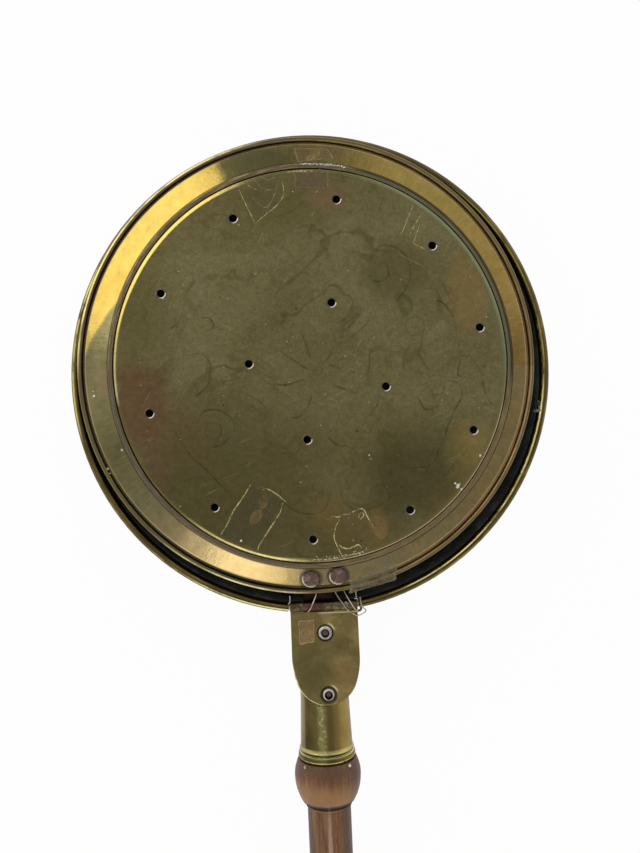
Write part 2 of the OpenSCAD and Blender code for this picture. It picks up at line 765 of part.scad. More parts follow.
module lid_band() {
    color("darkgoldenrod") on_lid() difference() {
        union() {
            difference() {
                rotate_extrude($fn = fine) {
                    polygon(concat(band_line(0), back(band_line(lid_sheet))));
                    roll([lid_edge_r, 0], lid_wire_d / 2, lid_roll_r, 150, 195);
                }
                on_panel_seat()
                    cylinder(h = through, r = ridge_c + ridge_r - ridge_wall / 2, center = true, $fn = fine);
            }
            on_panel_seat() rotate_extrude($fn = fine) ridge_section();
        }
        for (side = [-1, 1])
            on_band(lid_rivet_x + side * lid_rivet_gap / 2, lid_rivet_y + side * lid_rivet_skew - lid_reach)
                cylinder(h = through, r = lid_rivet_d / 2 + fit, center = true);
    }
}

// Ridge with rounded shoulders, the groove's wall and the ledge that carries the panel
module ridge_section() {
    top = [ridge_c, ridge_h - ridge_top_r];
    shoulder = (ridge_top_r - shoulder_r) * [cos(shoulder_turn), sin(shoulder_turn)];
    right = top + shoulder;
    left = top + [-shoulder[0], shoulder[1]];
    inside_r = ridge_r - ridge_wall;
    inside_z = ridge_h - ridge_wall - 0.1;
    flank_z = -1;
    polygon(concat(
        [[ridge_c + ridge_r, flank_z]],
        arc(right, shoulder_r, 0, shoulder_turn * 0.75, 3),
        arc(top, ridge_top_r, shoulder_turn, 180 - shoulder_turn, 4),
        arc(left, shoulder_r, 180 - shoulder_turn * 0.75, 180, 3),
        [[ridge_c - ridge_r, ledge_z - ridge_wall], [ridge_c - inside_r, ledge_z - ridge_wall],
        [ridge_c - inside_r, inside_z], [ridge_c + inside_r, inside_z], [ridge_c + inside_r, flank_z]]
    ));
    translate([panel_r - ledge_w, ledge_z - ridge_wall])
        square([ridge_c - inside_r - panel_r + ledge_w, ridge_wall]);
}

module lid_rim_wire() {
    color("dimgray") on_lid() rotate_extrude($fn = fine) translate([lid_edge_r, 0]) circle(lid_wire_d / 2 - fit);
}

// Points over the panel's top at depth d, from its side to its middle
function panel_line(d) =
    let (
        ease = 8,
        bend_r = panel_edge_w / (sin(panel_edge_slope) - sin(ease)),
        flat_r = panel_r - panel_edge_w,
        start = [flat_r, ledge_z + panel_h] - bend_r * [sin(ease), cos(ease)],
        side_turn = acos((panel_r - d - start[0]) / (bend_r - d))
    ) concat(
        [[panel_r - d, ledge_z + fit]],
        arc(start, bend_r - d, side_turn, 90 - ease, 3),
        [for (i = [1:8]) let (k = 1 - i / 8)
            [flat_r * k, ledge_z + panel_h - d + panel_crown * (1 - k * k)]]
    );

module lid_panel() {
    color("olive") on_lid() on_panel_seat() difference() {
        rotate_extrude($fn = fine) polygon(concat(panel_line(0), back(panel_line(lid_sheet))));
        vents(vent_outer_n, vent_outer_r, outer_centre, outer_first, outer_stray);
        vents(vent_inner_n, vent_inner_r, inner_centre, inner_first, inner_stray);
    }
}

// A ring of hand-punched vents
module vents(count, ring_r, centre, first, stray) {
    for (i = [0:count - 1]) {
        a = first - i * 360 / count + stray[i];
        translate([centre[0] + ring_r * cos(a), centre[1] + ring_r * sin(a), 0])
            cylinder(h = through, r = vent_d / 2, center = true);
    }
}

// A small blob of solder that bridges the groove
module seam_solder() {
    solder_at = 83;
    color("silver") on_lid() on_panel_seat() rotate([0, 0, solder_at])
        translate([ridge_c - ridge_r - groove_w / 2, 0, ledge_z + fit])
            cylinder(h = 1.9, r1 = groove_w / 2 - fit, r2 = groove_w / 2 - fit - 0.1);
}

// Everything over the underside of the lid's cove and band
module over_band_underside() {
    top = 30;
    under = band_line(lid_sheet + fit / 2);
    on_lid() rotate_extrude($fn = fine)
        polygon(concat(under, [[band_inner_r, top], [under[0][0], top]]));
}

module hinge_strap() {
    flat_end = lid_reach - lid_edge_r - 0.5;
    lift = lid_edge_z - hinge_z;
    leaf_out = 15.4;
    leaf_in = lid_rivet_y + burr_d / 2 + 0.6;
    leaf_y0 = leaf_out + 1.8;
    function leaf_top(y) = lift + cone_z(lid_reach - y) - (lid_sheet + fit) / cos(band_slope);
    function leaf_low(y) = leaf_top(y) - hinge_sheet / cos(band_slope);
    leaf_left = lid_rivet_x - lid_rivet_gap / 2 - burr_d / 2 - 1;
    leaf_right = lid_rivet_x + lid_rivet_gap / 2 + burr_d / 2 + 1;
    color("peru") difference() {
        union() {
            at_hinge() {
                knuckle(strap_left, strap_knuckle_w, 1);
                difference() {
                    translate([strap_left, 0, -knuckle_r]) cube([strap_knuckle_w, flat_end - 1.5, hinge_sheet]);
                    translate([strap_left - 1, 0, 0]) rotate([0, 90, 0])
                        cylinder(h = strap_knuckle_w + 2, r = knuckle_bore_r);
                }
            }
            at_hinge() rotate([0, 0, lid_yaw]) intersection() {
                translate([strap_left - 20, 0, 0]) rotate([90, 0, 90]) linear_extrude(80) polygon([
                    [flat_end - 3, -knuckle_r], [flat_end, -knuckle_r], [leaf_y0, leaf_low(leaf_y0)],
                    [leaf_in, leaf_low(leaf_in)], [leaf_in, leaf_top(leaf_in) + 1],
                    [leaf_out, leaf_top(leaf_out) + 1], [leaf_out, leaf_top(leaf_out) - 0.4],
                    [flat_end - 1, -knuckle_r + hinge_sheet], [flat_end - 3, -knuckle_r + hinge_sheet]
                ]);
                linear_extrude(60, center = true) polygon([
                    [strap_left + 0.4, flat_end - 3], [strap_right - 0.4, flat_end - 3],
                    [strap_right - 0.4, flat_end + 2], [leaf_right, leaf_out - 1], [leaf_right, leaf_in],
                    [leaf_left, leaf_in], [leaf_left, leaf_out - 1], [strap_left + 0.4, flat_end + 2]
                ]);
            }
        }
        over_band_underside();
        for (side = [-1, 1]) at_lid_rivet(side) {
            cylinder(h = through, r = lid_rivet_d / 2 + fit, center = true);
            translate([0, 0, burr_top + fit - 8]) cylinder(h = 8, r = burr_d / 2 + fit);
        }
    }
}

// A flat-headed copper rivet through band, strap and washer
module lid_rivet(side) {
    grip = burr_t + fit - burr_top;
    close_h = 1.2;
    at_lid_rivet(side) {
        rotate_extrude() polygon([
            [0, fit], [lid_rivet_head_d / 2, fit], [lid_rivet_head_d / 2 - 0.1, lid_rivet_head_h * 0.45],
            [lid_rivet_head_d / 2 - 0.5, lid_rivet_head_h * 0.8], [lid_rivet_head_d / 2 - 1.3, lid_rivet_head_h],
            [0, lid_rivet_head_h]
        ]);
        translate([0, 0, -grip]) cylinder(h = grip + fit, r = lid_rivet_d / 2);
        translate([0, 0, -grip - close_h]) cylinder(h = close_h, r1 = lid_rivet_d * 0.45, r2 = lid_rivet_d * 0.72);
    }
}

module lid_rivet_left() {
    color("sienna") lid_rivet(-1);
}

module lid_rivet_right() {
    color("sienna") lid_rivet(1);
}

module strap_burrs() {
    color("peru") for (side = [-1, 1]) at_lid_rivet(side) translate([0, 0, burr_top - burr_t]) difference() {
        cylinder(h = burr_t, r = burr_d / 2);
        translate([0, 0, -1]) cylinder(h = burr_t + 2, r = lid_rivet_d / 2 + fit);
    }
}

pan_body();
pan_rim_wire();
handle_bracket();
bracket_rivets();
ferrule();
hinge_plate();
plate_rivet_upper();
plate_rivet_lower();
rivet_stems();
hinge_pin();
tie_wire_loop();
tie_wire_corner();
handle_shaft();
handle_nails();
lid_band();
lid_rim_wire();
lid_panel();
seam_solder();
hinge_strap();
lid_rivet_left();
lid_rivet_right();
strap_burrs();
tie_wire_strap();
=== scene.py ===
"""Brass bed warming pan with an engraved lid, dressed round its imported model."""
import math
import random

import bpy
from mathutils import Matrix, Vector
from mathutils.bvhtree import BVHTree


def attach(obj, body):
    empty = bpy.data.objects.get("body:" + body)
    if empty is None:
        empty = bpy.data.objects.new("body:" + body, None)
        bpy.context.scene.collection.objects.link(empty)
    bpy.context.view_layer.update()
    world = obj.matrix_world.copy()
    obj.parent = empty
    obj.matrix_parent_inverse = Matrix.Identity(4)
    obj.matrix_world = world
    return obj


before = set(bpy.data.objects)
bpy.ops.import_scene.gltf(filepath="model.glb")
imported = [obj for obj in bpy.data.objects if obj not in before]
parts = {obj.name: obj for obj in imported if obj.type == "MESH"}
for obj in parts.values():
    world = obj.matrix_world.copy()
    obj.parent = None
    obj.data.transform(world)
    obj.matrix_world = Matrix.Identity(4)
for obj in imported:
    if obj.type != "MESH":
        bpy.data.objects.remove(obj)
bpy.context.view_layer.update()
chance = random.Random(11)

# ---- Studio ----
# The pan stands on a pale floor. The camera looks straight down from a little towards the
# handle, with the handle at the bottom of the picture.
scene = bpy.context.scene
scene.view_settings.view_transform = "Standard"

# The photograph is turned by this many degrees, and places round the lid are counted from it.
picture_turn = -2.55
camera_data = bpy.data.cameras.new("camera")
camera_data.lens = 27.05
camera_data.sensor_width = 36
camera_data.clip_start = 0.01
camera = bpy.data.objects.new("camera", camera_data)
camera.location = (0.00477, -0.03324, 0.4768)
camera.rotation_euler = (0, 0, math.radians(picture_turn))
scene.collection.objects.link(camera)
scene.camera = camera


def put(socket, value):
    """Gives an input a plain value, or a link from another socket."""
    if isinstance(value, bpy.types.NodeSocket):
        socket.id_data.links.new(value, socket)
    else:
        socket.default_value = (*value, 1) if socket.type == "RGBA" and len(value) == 3 else value


def add(tree, kind, inputs=None, **settings):
    """Adds a shader node; each input takes a value, or a socket to link."""
    made = tree.nodes.new("ShaderNode" + kind)
    for name, value in settings.items():
        setattr(made, name, value)
    for key, value in (inputs or {}).items():
        put(made.inputs[key], value)
    return made


def tree_of(*values):
    """The node tree of the first socket among some values."""
    return next(value.id_data for value in values if isinstance(value, bpy.types.NodeSocket))


def calc(operation, *values, clamp=False):
    """The result of a Math node on sockets and plain numbers."""
    return add(tree_of(*values), "Math", dict(enumerate(values)), operation=operation,
               use_clamp=clamp).outputs[0]


def plus(first, *others):
    for other in others:
        first = calc("ADD", first, other)
    return first


def minus(a, b):
    return calc("SUBTRACT", a, b)


def times(first, *others):
    for other in others:
        first = calc("MULTIPLY", first, other)
    return first


def capped(a, b):
    """A sum of at most 1."""
    return calc("ADD", a, b, clamp=True)


def xyz(place):
    """The three parts of a vector."""
    return add(tree_of(place), "SeparateXYZ", {0: place}).outputs


def srgb(*rgb):
    """Linear colour of an 8-bit sRGB one."""
    return tuple(((c / 255 + 0.055) / 1.055) ** 2.4 if c > 10 else c / 255 / 12.92 for c in rgb)


def ramp(value, stops, smooth=False):
    """A colour ramp over stops: a position with an 8-bit sRGB colour, or with a linear grey."""
    made = add(tree_of(value), "ValToRGB", {0: value})
    made.color_ramp.interpolation = "EASE" if smooth else "LINEAR"
    while len(made.color_ramp.elements) < len(stops):
        made.color_ramp.elements.new(1)
    for element, (place, *colour) in zip(made.color_ramp.elements, stops):
        element.position = place
        element.color = (*(srgb(*colour) if len(colour) == 3 else colour * 3), 1)
    return made.outputs[0]


def new_material(name):
    """A material with its Principled shader; returns it, its tree and the shader."""
    material = bpy.data.materials.new(name)
    material.use_nodes = True
    tree = material.node_tree
    return material, tree, tree.nodes["Principled BSDF"]


def paint(shader, **inputs):
    """Sets or links inputs of a shader, named with _ for a space."""
    for key, value in inputs.items():
        put(shader.inputs[key.replace("_", " ")], value)


world = bpy.data.worlds.new("studio")
world.use_nodes = True
scene.world = world
sky = world.node_tree
sky_up = xyz(add(sky, "TexCoord").outputs["Generated"])[2]
put(sky.nodes["Background"].inputs["Color"],
    ramp(sky_up, [(0, 0.95), (0.3, 0.9), (0.56, 0.48), (1, 0.4)], smooth=True))

floor_mesh = bpy.data.meshes.new("floor")
floor_half = 6
floor_level = -0.0002
floor_mesh.from_pydata(
    [(x * floor_half, y * floor_half, floor_level) for x, y in ((-1, -1), (1, -1), (1, 1), (-1, 1))],
    [], [(0, 1, 2, 3)])
floor = bpy.data.objects.new("floor", floor_mesh)
scene.collection.objects.link(floor)
floor_material, floor_tree, floor_shader = new_material("pale floor")
paint(floor_shader, Base_Color=(0.93, 0.93, 0.93), Roughness=0.9)
# Seen straight, in a metal or through a film, the floor is nearly white and keeps its shadow.
rays = add(floor_tree, "LightPath")
seen = capped(plus(rays.outputs["Is Camera Ray"], rays.outputs["Is Glossy Ray"]),
              rays.outputs["Is Transmission Ray"])
white = add(floor_tree, "Emission", {"Color": (1, 1, 1), "Strength": 1.0})
white_share = 0.95
floor_mix = add(floor_tree, "MixShader",
                {0: times(seen, white_share), 1: floor_shader.outputs[0], 2: white.outputs[0]})
put(floor_tree.nodes["Material Output"].inputs["Surface"], floor_mix.outputs[0])
floor_mesh.materials.append(floor_material)

lid_height = 0.08


def softbox(name, turn, height, distance, size, power, colour=(1, 1, 1), in_metal=True):
    """An area lamp, turn degrees from +X and height degrees up, aimed at the lid."""
    data = bpy.data.lights.new(name, "AREA")
    data.shape = "RECTANGLE"
    data.size, data.size_y = size
    data.energy = power
    data.color = colour
    lamp = bpy.data.objects.new(name, data)
    turn, height = math.radians(turn), math.radians(height)
    out = Vector((math.cos(turn) * math.cos(height), math.sin(turn) * math.cos(height), math.sin(height)))
    lamp.location = Vector((0, 0, lid_height)) + out * distance
    lamp.rotation_euler = out.to_track_quat("Z", "Y").to_euler()
    lamp.visible_camera = False
    lamp.visible_glossy = in_metal
    scene.collection.objects.link(lamp)


softbox("window", 138, 37, 1.5, (1.2, 0.75), 2.45, (1, 0.98, 0.94))
softbox("low lamp", -109, 41, 1.5, (0.55, 0.6), 1.0, (1, 0.96, 0.9))
softbox("far lamp", 44, 36, 1.6, (1.4, 0.6), 0.9, (1, 0.96, 0.9))
softbox("ceiling", 100, 82, 1.9, (2.4, 2.4), 14, in_metal=False)

# ---- Pan body and the wire in its rim ----
# A brass bowl, spun on a lathe, with its edge rolled over an iron wire. The outside has the
# lines of the lathe under a brown tarnish; the inside is black with soot.


def dress(material, *names):
    """Gives CAD nodes a material."""
    for name in names:
        for slot in parts[name].material_slots:
            slot.material = material


def group(name, inputs, outputs):
    """Starts a shared node group; returns it with its input and output sockets."""
    tree = bpy.data.node_groups.new(name, "ShaderNodeTree")
    for label, kind, value in inputs:
        socket = tree.interface.new_socket(label, in_out="INPUT", socket_type="NodeSocket" + kind)
        socket.default_value = (*value, 1) if kind == "Color" else value
    for label, kind in outputs:
        tree.interface.new_socket(label, in_out="OUTPUT", socket_type="NodeSocket" + kind)
    return tree, tree.nodes.new("NodeGroupInput").outputs, tree.nodes.new("NodeGroupOutput").inputs


def use(tree, shared, **inputs):
    """Places a shared group in a material; returns its outputs."""
    return add(tree, "Group", {key.replace("_", " "): value for key, value in inputs.items()},
               node_tree=shared).outputs


def place_of(tree):
    """Place on the part in metres."""
    return add(tree, "TexCoord").outputs["Object"]


def upward(tree):
    """How far the surface faces up, from -1 to 1."""
    return xyz(add(tree, "TexCoord").outputs["Normal"])[2]


def vector(x, y):
    return add(tree_of(x, y), "CombineXYZ", {0: x, 1: y}).outputs[0]


def vector_calc(operation, a, b):
    return add(tree_of(a, b), "VectorMath", {0: a, 1: b}, operation=operation).outputs[0]


def scaled(value, size):
    """A vector or a colour times one number."""
    return add(tree_of(value), "VectorMath", {0: value, "Scale": size}, operation="SCALE").outputs[0]


def mm_of(tree):
    """Place on the part in mm."""
    return scaled(place_of(tree), 1000)


def mixed(share, a, b, blend="MIX"):
    """Colour a, turning into b as the share goes from 0 to 1."""
    return add(tree_of(share, a, b), "Mix", {0: share, 6: a, 7: b}, data_type="RGBA",
               blend_type=blend).outputs[2]


def over(tone, colour, mask, share):
    """A tone below a colour that covers up to a share of it where the mask is 1."""
    return mixed(times(mask, share), tone, colour)


def between(value, low, high):
    """0 at low and 1 at high, eased between; low above high turns it round."""
    return add(tree_of(value), "MapRange", {0: value, 1: low, 2: high},
               interpolation_type="SMOOTHSTEP").outputs[0]


def spread(value, first, last, low=0, high=1):
    """Goes from first to last while a value goes from low to high."""
    return add(tree_of(value), "MapRange", {0: value, 1: low, 2: high, 3: first, 4: last}).outputs[0]


def noise(place, scale, detail=5, rough=0.55, warp=0.0, seed=0.0):
    """A cloudy pattern from 0 to 1; the seed moves it to another stretch."""
    if seed:
        place = vector_calc("ADD", place, (seed, seed * 0.7, seed * 1.3))
    return add(tree_of(place), "TexNoise", {"Vector": place, "Scale": scale, "Detail": detail,
                                            "Roughness": rough, "Distortion": warp}).outputs["Fac"]


# Old brass: a clean colour under two sizes of tarnish patches, with dark spots in it.
tarnish, given, made = group(
    "tarnish",
    [("Clean", "Color", srgb(215, 180, 95)), ("Film", "Color", srgb(150, 125, 70)),
     ("Spots", "Color", srgb(80, 68, 42)), ("Amount", "Float", 0.5), ("Scale", "Float", 1.0),
     ("Smooth", "Float", 0.2), ("Seed", "Float", 0.0)],
    [("Color", "Color"), ("Roughness", "Float"), ("Height", "Float")])
spot_place = vector_calc("ADD", scaled(place_of(tarnish), given["Scale"]),
                         vector(given["Seed"], given["Seed"]))
broad = noise(spot_place, 22, 7, 0.62, 0.6)
fine = noise(spot_place, 160, 6, 0.65, 0.3)
patchy = plus(times(broad, 0.7), times(fine, 0.3))
share = times(given["Amount"], 0.5)
film = between(patchy, minus(0.68, share), minus(0.84, share))
speck = between(noise(spot_place, 420, 3, 0.6, 0, 3.1), 0.66, 0.74)
speck = times(speck, between(noise(spot_place, 55, 3, 0.5, 0, 7.7), 0.5, 0.62))
tone = mixed(film, given["Clean"], given["Film"])
tone = over(tone, given["Spots"], speck, 0.7)
put(made["Color"], scaled(tone, spread(fine, 0.84, 1.14, 0.3, 0.7)))
put(made["Roughness"], plus(times(film, 0.16), times(fine, 0.1), given["Smooth"]))
put(made["Height"], plus(times(fine, 0.5), times(broad, 1.0)))

# Radius in mm and turn from 0 to 1, clockwise from the right of the picture, about a centre.
about, given, made = group("about a centre", [("Centre", "Vector", (0, 0, 0))],
                           [("Radius", "Float"), ("Turn", "Float")])
from_centre = xyz(vector_calc("SUBTRACT", mm_of(about), given["Centre"]))
put(made["Radius"],
    calc("SQRT", plus(calc("POWER", from_centre[0], 2), calc("POWER", from_centre[1], 2))))
angle = calc("ARCTAN2", from_centre[1], from_centre[0])
put(made["Turn"], calc("FRACT", plus(times(angle, -1 / math.tau), 1 + picture_turn / 360)))

# A patch round a place given in mm, with a size each way and a ragged edge.
stain, given, made = group(
    "stain", [("Centre", "Vector", (0, 0, 0)), ("Size", "Vector", (10, 10, 0)), ("Soft", "Float", 0.3),
              ("Ragged", "Float", 0.5), ("Grain", "Float", 90.0)], [("Mask", "Float")])
off = vector_calc("DIVIDE", vector_calc("SUBTRACT", mm_of(stain), given["Centre"]), given["Size"])
flat_off = vector_calc("MULTIPLY", off, (1, 1, 0))
edge = add(stain, "VectorMath", {0: flat_off}, operation="LENGTH").outputs[1]
frayed = minus(noise(place_of(stain), given["Grain"], 6, 0.65, 0.4), 0.5)
rough_edge = plus(edge, times(frayed, given["Ragged"]))
put(made["Mask"], between(rough_edge, plus(1, given["Soft"]), minus(1, given["Soft"])))


def patch(tree, centre, size, soft, ragged, grain=90.0):
    """The mask of a stain at a place in mm."""
    return use(tree, stain, Centre=(*centre, 0), Size=(*size, 1), Soft=soft, Ragged=ragged,
               Grain=grain)["Mask"]


def ring_mask(radius, inner, outer, soft=0.3):
    """1 between two radii in mm, or between two other values."""
    return times(between(radius, inner - soft, inner + soft),
                 between(radius, outer + soft, outer - soft))


def bumped(height, depth):
    """A normal from a height of 0 to 1 and a depth in metres."""
    return add(tree_of(height), "Bump", {"Height": height, "Strength": 1.0, "Distance": depth}).outputs[0]


def paint_metal(shader, tone, skin, depth, metallic=1.0):
    """Paints a metal with the roughness and the bumps of its tarnish."""
    paint(shader, Base_Color=tone, Metallic=metallic, Roughness=skin["Roughness"],
          Normal=bumped(skin["Height"], depth))


def metal(name, clean, film, spots, **coat):
    """A material with the tarnish of three 8-bit colours; returns it, its tree, shader and skin."""
    material, tree, shader = new_material(name)
    skin = use(tree, tarnish, Clean=srgb(*clean), Film=srgb(*film), Spots=srgb(*spots), **coat)
    return material, tree, shader, skin


def old_metal(name, metallic, depth, *colours, **coat):
    """A metal with nothing on it but its own tarnish."""
    material, tree, shader, skin = metal(name, *colours, **coat)
    paint_metal(shader, skin["Color"], skin, depth, metallic)
    return material


pan_metal, tree, shader, skin = metal("spun brass, sooty inside", (154, 134, 80), (112, 96, 58),
                                      (60, 50, 30), Amount=0.62, Smooth=0.2)
here = use(tree, about, Centre=(0, 0, 0))
level = xyz(mm_of(tree))[2]
# Inside is what faces up below the top of the rim, whose bead starts at 71 mm.
within = times(between(upward(tree), 0.02, 0.12), between(level, 72.4, 71.2))
lathe = noise(vector(times(here["Radius"], 0.9), times(level, 0.9)), 1.4, 3, 0.6)
# Dark streaks along the bead: painted reflection lines.
bead_reflection_lines = noise(vector(here["Radius"], times(here["Turn"], 9)), 1.9, 4, 0.7)
metal_tone = mixed(between(lathe, 0.5, 0.75), skin["Color"], srgb(150, 128, 72))
on_bead = between(level, 70.6, 71.2)
metal_tone = mixed(times(on_bead, between(bead_reflection_lines, 0.5, 0.66)), metal_tone, srgb(70, 60, 34))
# Darker where the bead turns under at its outer edge: painted shade.
bead_underturn_shade = times(on_bead, ring_mask(here["Radius"], 149.2, 151, 0.25))
metal_tone = over(metal_tone, srgb(46, 40, 24), bead_underturn_shade, 0.8)
# Lines along the rim: the pale ones are painted highlights where the bead faces the lamps, the dark one a
# darker line along the bead: two radii in mm, start and end of the turn, colour.
rim_glints_and_dark_line = ((145.9, 146.6, 0.005, 0.19, srgb(240, 226, 150)),
             (148.0, 149.0, 0.255, 0.36, srgb(238, 228, 160)),
             (147.2, 147.8, 0.02, 0.36, srgb(66, 58, 32)),
             (147.6, 148.8, 0.46, 0.57, srgb(236, 220, 130)),
             (146.4, 147.0, 0.86, 0.99, srgb(196, 184, 96)))
unevenness = times(between(noise(place_of(tree), 45, 5, 0.65), 0.36, 0.56), on_bead)
for inner, outer, start, end, colour in rim_glints_and_dark_line:
    line = times(ring_mask(here["Radius"], inner, outer, 0.25), ring_mask(here["Turn"], start, end, 0.012))
    metal_tone = over(metal_tone, colour, line, unevenness)
dust = between(noise(place_of(tree), 60, 7, 0.7, 0.5), 0.45, 0.7)
soot = mixed(dust, srgb(52, 53, 50), srgb(92, 95, 87))
paint(shader, Base_Color=mixed(within, metal_tone, soot), Metallic=minus(1, within),
      Roughness=capped(skin["Roughness"], times(within, 0.45)),
      Normal=bumped(plus(times(lathe, 0.4), skin["Height"]), 0.00018))
dress(pan_metal, "pan_body")

iron = old_metal("black iron", 0.85, 0.0003, (74, 70, 66), (52, 44, 38), (98, 62, 40), Amount=0.5,
                 Scale=1.6, Smooth=0.45)
dress(iron, "handle_bracket", "pan_rim_wire", "lid_rim_wire")

# ---- Ferrule ----
# A tapered brass socket, rolled from sheet, with a bead at its mouth. It is driven on to the
# bracket's boss; its sides keep long streaks of tarnish, and painted reflections and highlights
# run along them and round the bead.

# Distance in mm beyond the ferrule's mouth along the handle, and turn round it (0.5 on top).
rise = math.radians(6)
axis_y, axis_z = -0.148, 0.057
mouth_mm = 248.9
handle_line, given, made = group("handle line", [], [("Along", "Float"), ("Round", "Float")])
where = xyz(place_of(handle_line))
axis_height = plus(axis_z, times(minus(where[1], axis_y), -math.tan(rise)))
turn = calc("ARCTAN2", where[0], minus(where[2], axis_height))
put(made["Round"], plus(times(turn, 1 / math.tau), 0.5))
backward, upward_mm = times(where[1], -1000 * math.cos(rise)), times(where[2], 1000 * math.sin(rise))
put(made["Along"], minus(plus(backward, upward_mm), mouth_mm))


def apart(a, b):
    """How far two values are from each other."""
    return calc("ABSOLUTE", minus(a, b))


ferrule_metal, tree, shader, skin = metal("brass ferrule", (158, 138, 84), (124, 106, 62), (62, 52, 30),
                                          Amount=0.45, Scale=1.5, Smooth=0.2, Seed=4.0)
line = use(tree, handle_line)
along = vector(times(line["Round"], 26), times(line["Along"], 0.014))
streak = noise(along, 1.0, 6, 0.65, 0.4)
wavy = plus(line["Round"], times(minus(streak, 0.5), 0.02))
# Tarnish streaks round the ferrule, mixed with painted reflections: dark lines and a pale strip along the
# top.
streaks_and_reflections = ramp(wavy, [
    (0.0, 106, 90, 56), (0.2, 116, 98, 64), (0.345, 124, 107, 74), (0.36, 18, 15, 7),
    (0.39, 30, 26, 11), (0.42, 90, 83, 44), (0.445, 120, 112, 66), (0.475, 178, 170, 110),
    (0.505, 140, 130, 78), (0.52, 114, 100, 58), (0.54, 116, 100, 58), (0.555, 142, 120, 66),
    (0.66, 150, 124, 68), (0.72, 104, 86, 46), (0.85, 138, 116, 64)])
# Crackly painted highlights along the top of the ferrule.
near_top = between(apart(wavy, 0.477), 0.035, 0.01)
crackle_highlights = times(between(noise(place_of(tree), 330, 4, 0.7, 1.2), 0.5, 0.66), near_top)
tone = mixed(0.72, skin["Color"], streaks_and_reflections)
tone = over(tone, srgb(222, 218, 150), crackle_highlights, 0.75)
top_half = between(apart(line["Round"], 0.49), 0.2, 0.08)
# Painted light and shade round the groove and the bead: highlights, shade in the groove and the
# bead's olive body, then painted highlights that only the top half has: from and to in mm along
# the handle, share, colour.
ring_light_and_shade = ((-8.0, -6.3, 0.3, srgb(220, 206, 130)), (-6.0, -5.0, 0.9, srgb(26, 22, 12)),
               (-4.9, -4.2, 0.7, srgb(222, 216, 150)), (-3.9, -2.3, 0.7, srgb(84, 82, 40)))
top_highlights = ((-1.9, -0.9, 0.9, srgb(238, 232, 160)), (-8.5, -6.5, 0.4, srgb(238, 226, 150)))
for start, end, share, colour in ring_light_and_shade:
    tone = over(tone, colour, ring_mask(line["Along"], start, end, 0.15), share)
for start, end, share, colour in top_highlights:
    tone = over(tone, colour, times(ring_mask(line["Along"], start, end, 0.2), top_half), share)
# Painted shade in the gap at the bead's edge.
tone = over(tone, srgb(24, 20, 12), between(line["Along"], -0.7, -0.3), 0.9)
paint(shader, Base_Color=tone, Metallic=1.0, Roughness=skin["Roughness"],
      Normal=bumped(plus(skin["Height"], crackle_highlights), 0.00022))
dress(ferrule_metal, "ferrule")

# ---- Hinge plate with its blind rivets, and the solder ----
# A shield of brass sheet over the ferrule, its top rolled into two knuckles. Two later blind
# rivets pull it into dimples; their steel stems have rusted.
blind_rivets = ((2.3, -163.1, 0), (2.8, -200.1, 0))
plate_metal, tree, shader, skin = metal("brass hinge plate", (196, 172, 114), (144, 128, 80),
                                        (66, 52, 32), Amount=0.62, Scale=1.8, Smooth=0.22, Seed=9.0)
green = patch(tree, (-5, -184), (12, 14), 0.5, 0.8)
amber = patch(tree, (13, -190), (8, 9), 0.6, 0.5)
smoky = patch(tree, (14, -172), (7, 5), 0.7, 0.8)
tone = over(skin["Color"], srgb(104, 100, 60), green, 0.6)
tone = over(tone, srgb(158, 124, 74), amber, 0.45)
tone = over(tone, srgb(84, 72, 44), smoky, 0.4)
# Round each blind rivet: painted shadow in its dimple, and a painted highlight on one side of the dimple's
# rim.
for centre in blind_rivets:
    dimple = use(tree, about, Centre=centre)
    tone = over(tone, srgb(54, 47, 34), ring_mask(dimple["Radius"], 3.4, 5.3, 0.5), 0.85)
    lit = times(ring_mask(dimple["Radius"], 5.5, 6.5, 0.4), ring_mask(dimple["Turn"], 0.8, 0.94, 0.03))
    tone = mixed(lit, tone, srgb(255, 246, 170))
where = xyz(place_of(tree))
rolled = between(where[1], -0.1502, -0.1494)
knuckle_dirt = ramp(noise(place_of(tree), 210, 6, 0.7, 0.8),
                    [(0.36, 52, 44, 34), (0.5, 98, 86, 62), (0.66, 150, 142, 112)])
tone = over(tone, knuckle_dirt, rolled, 0.85)
# A painted highlight along the fold's edge at the knuckle.
fold_highlight = times(ring_mask(times(where[1], 1000), -151.3, -150.6, 0.2), between(where[0], -0.003, 0.001))
tone = over(tone, srgb(250, 240, 180), fold_highlight, 0.9)
paint(shader, Base_Color=tone, Metallic=1.0, Roughness=skin["Roughness"],
      Normal=bumped(plus(skin["Height"], times(rolled, 0.4)), 0.0003))
dress(plate_metal, "hinge_plate")

rivet_metal, tree, shader, skin = metal("blind rivet", (230, 226, 228), (168, 162, 166), (70, 62, 60),
                                        Amount=0.45, Scale=5.0, Smooth=0.25, Seed=2.0)
tone = skin["Color"]
# Painted shade in each rivet's hollow round its stem.
for centre in blind_rivets:
    from_middle = use(tree, about, Centre=centre)["Radius"]
    tone = mixed(between(from_middle, 2.75, 2.45), tone, srgb(20, 16, 15))
paint_metal(shader, tone, skin, 0.0002, 0.9)
dress(rivet_metal, "plate_rivet_upper", "plate_rivet_lower")

solder = old_metal("silver solder", 0.8, 0.0003, (226, 224, 226), (168, 164, 162), (90, 84, 80),
                   Amount=0.4, Scale=5.0, Smooth=0.25, Seed=2.0)
dress(solder, "seam_solder")

rust = old_metal("rusty steel", 0.35, 0.0004, (104, 76, 62), (70, 46, 36), (150, 120, 100), Amount=0.5,
                 Scale=9.0, Smooth=0.5)
dress(rust, "rivet_stems")

# ---- Wooden handle and its nails ----
# Turned from one length of fruitwood, stained red-brown and waxed: a ball, a dark cove and a
# long shaft. Two nails hold it in the ferrule.


def stretched(place, scale):
    """A place for a pattern, scaled by its own number each way."""
    return add(tree_of(place), "Mapping", {"Vector": place, "Scale": scale}).outputs[0]


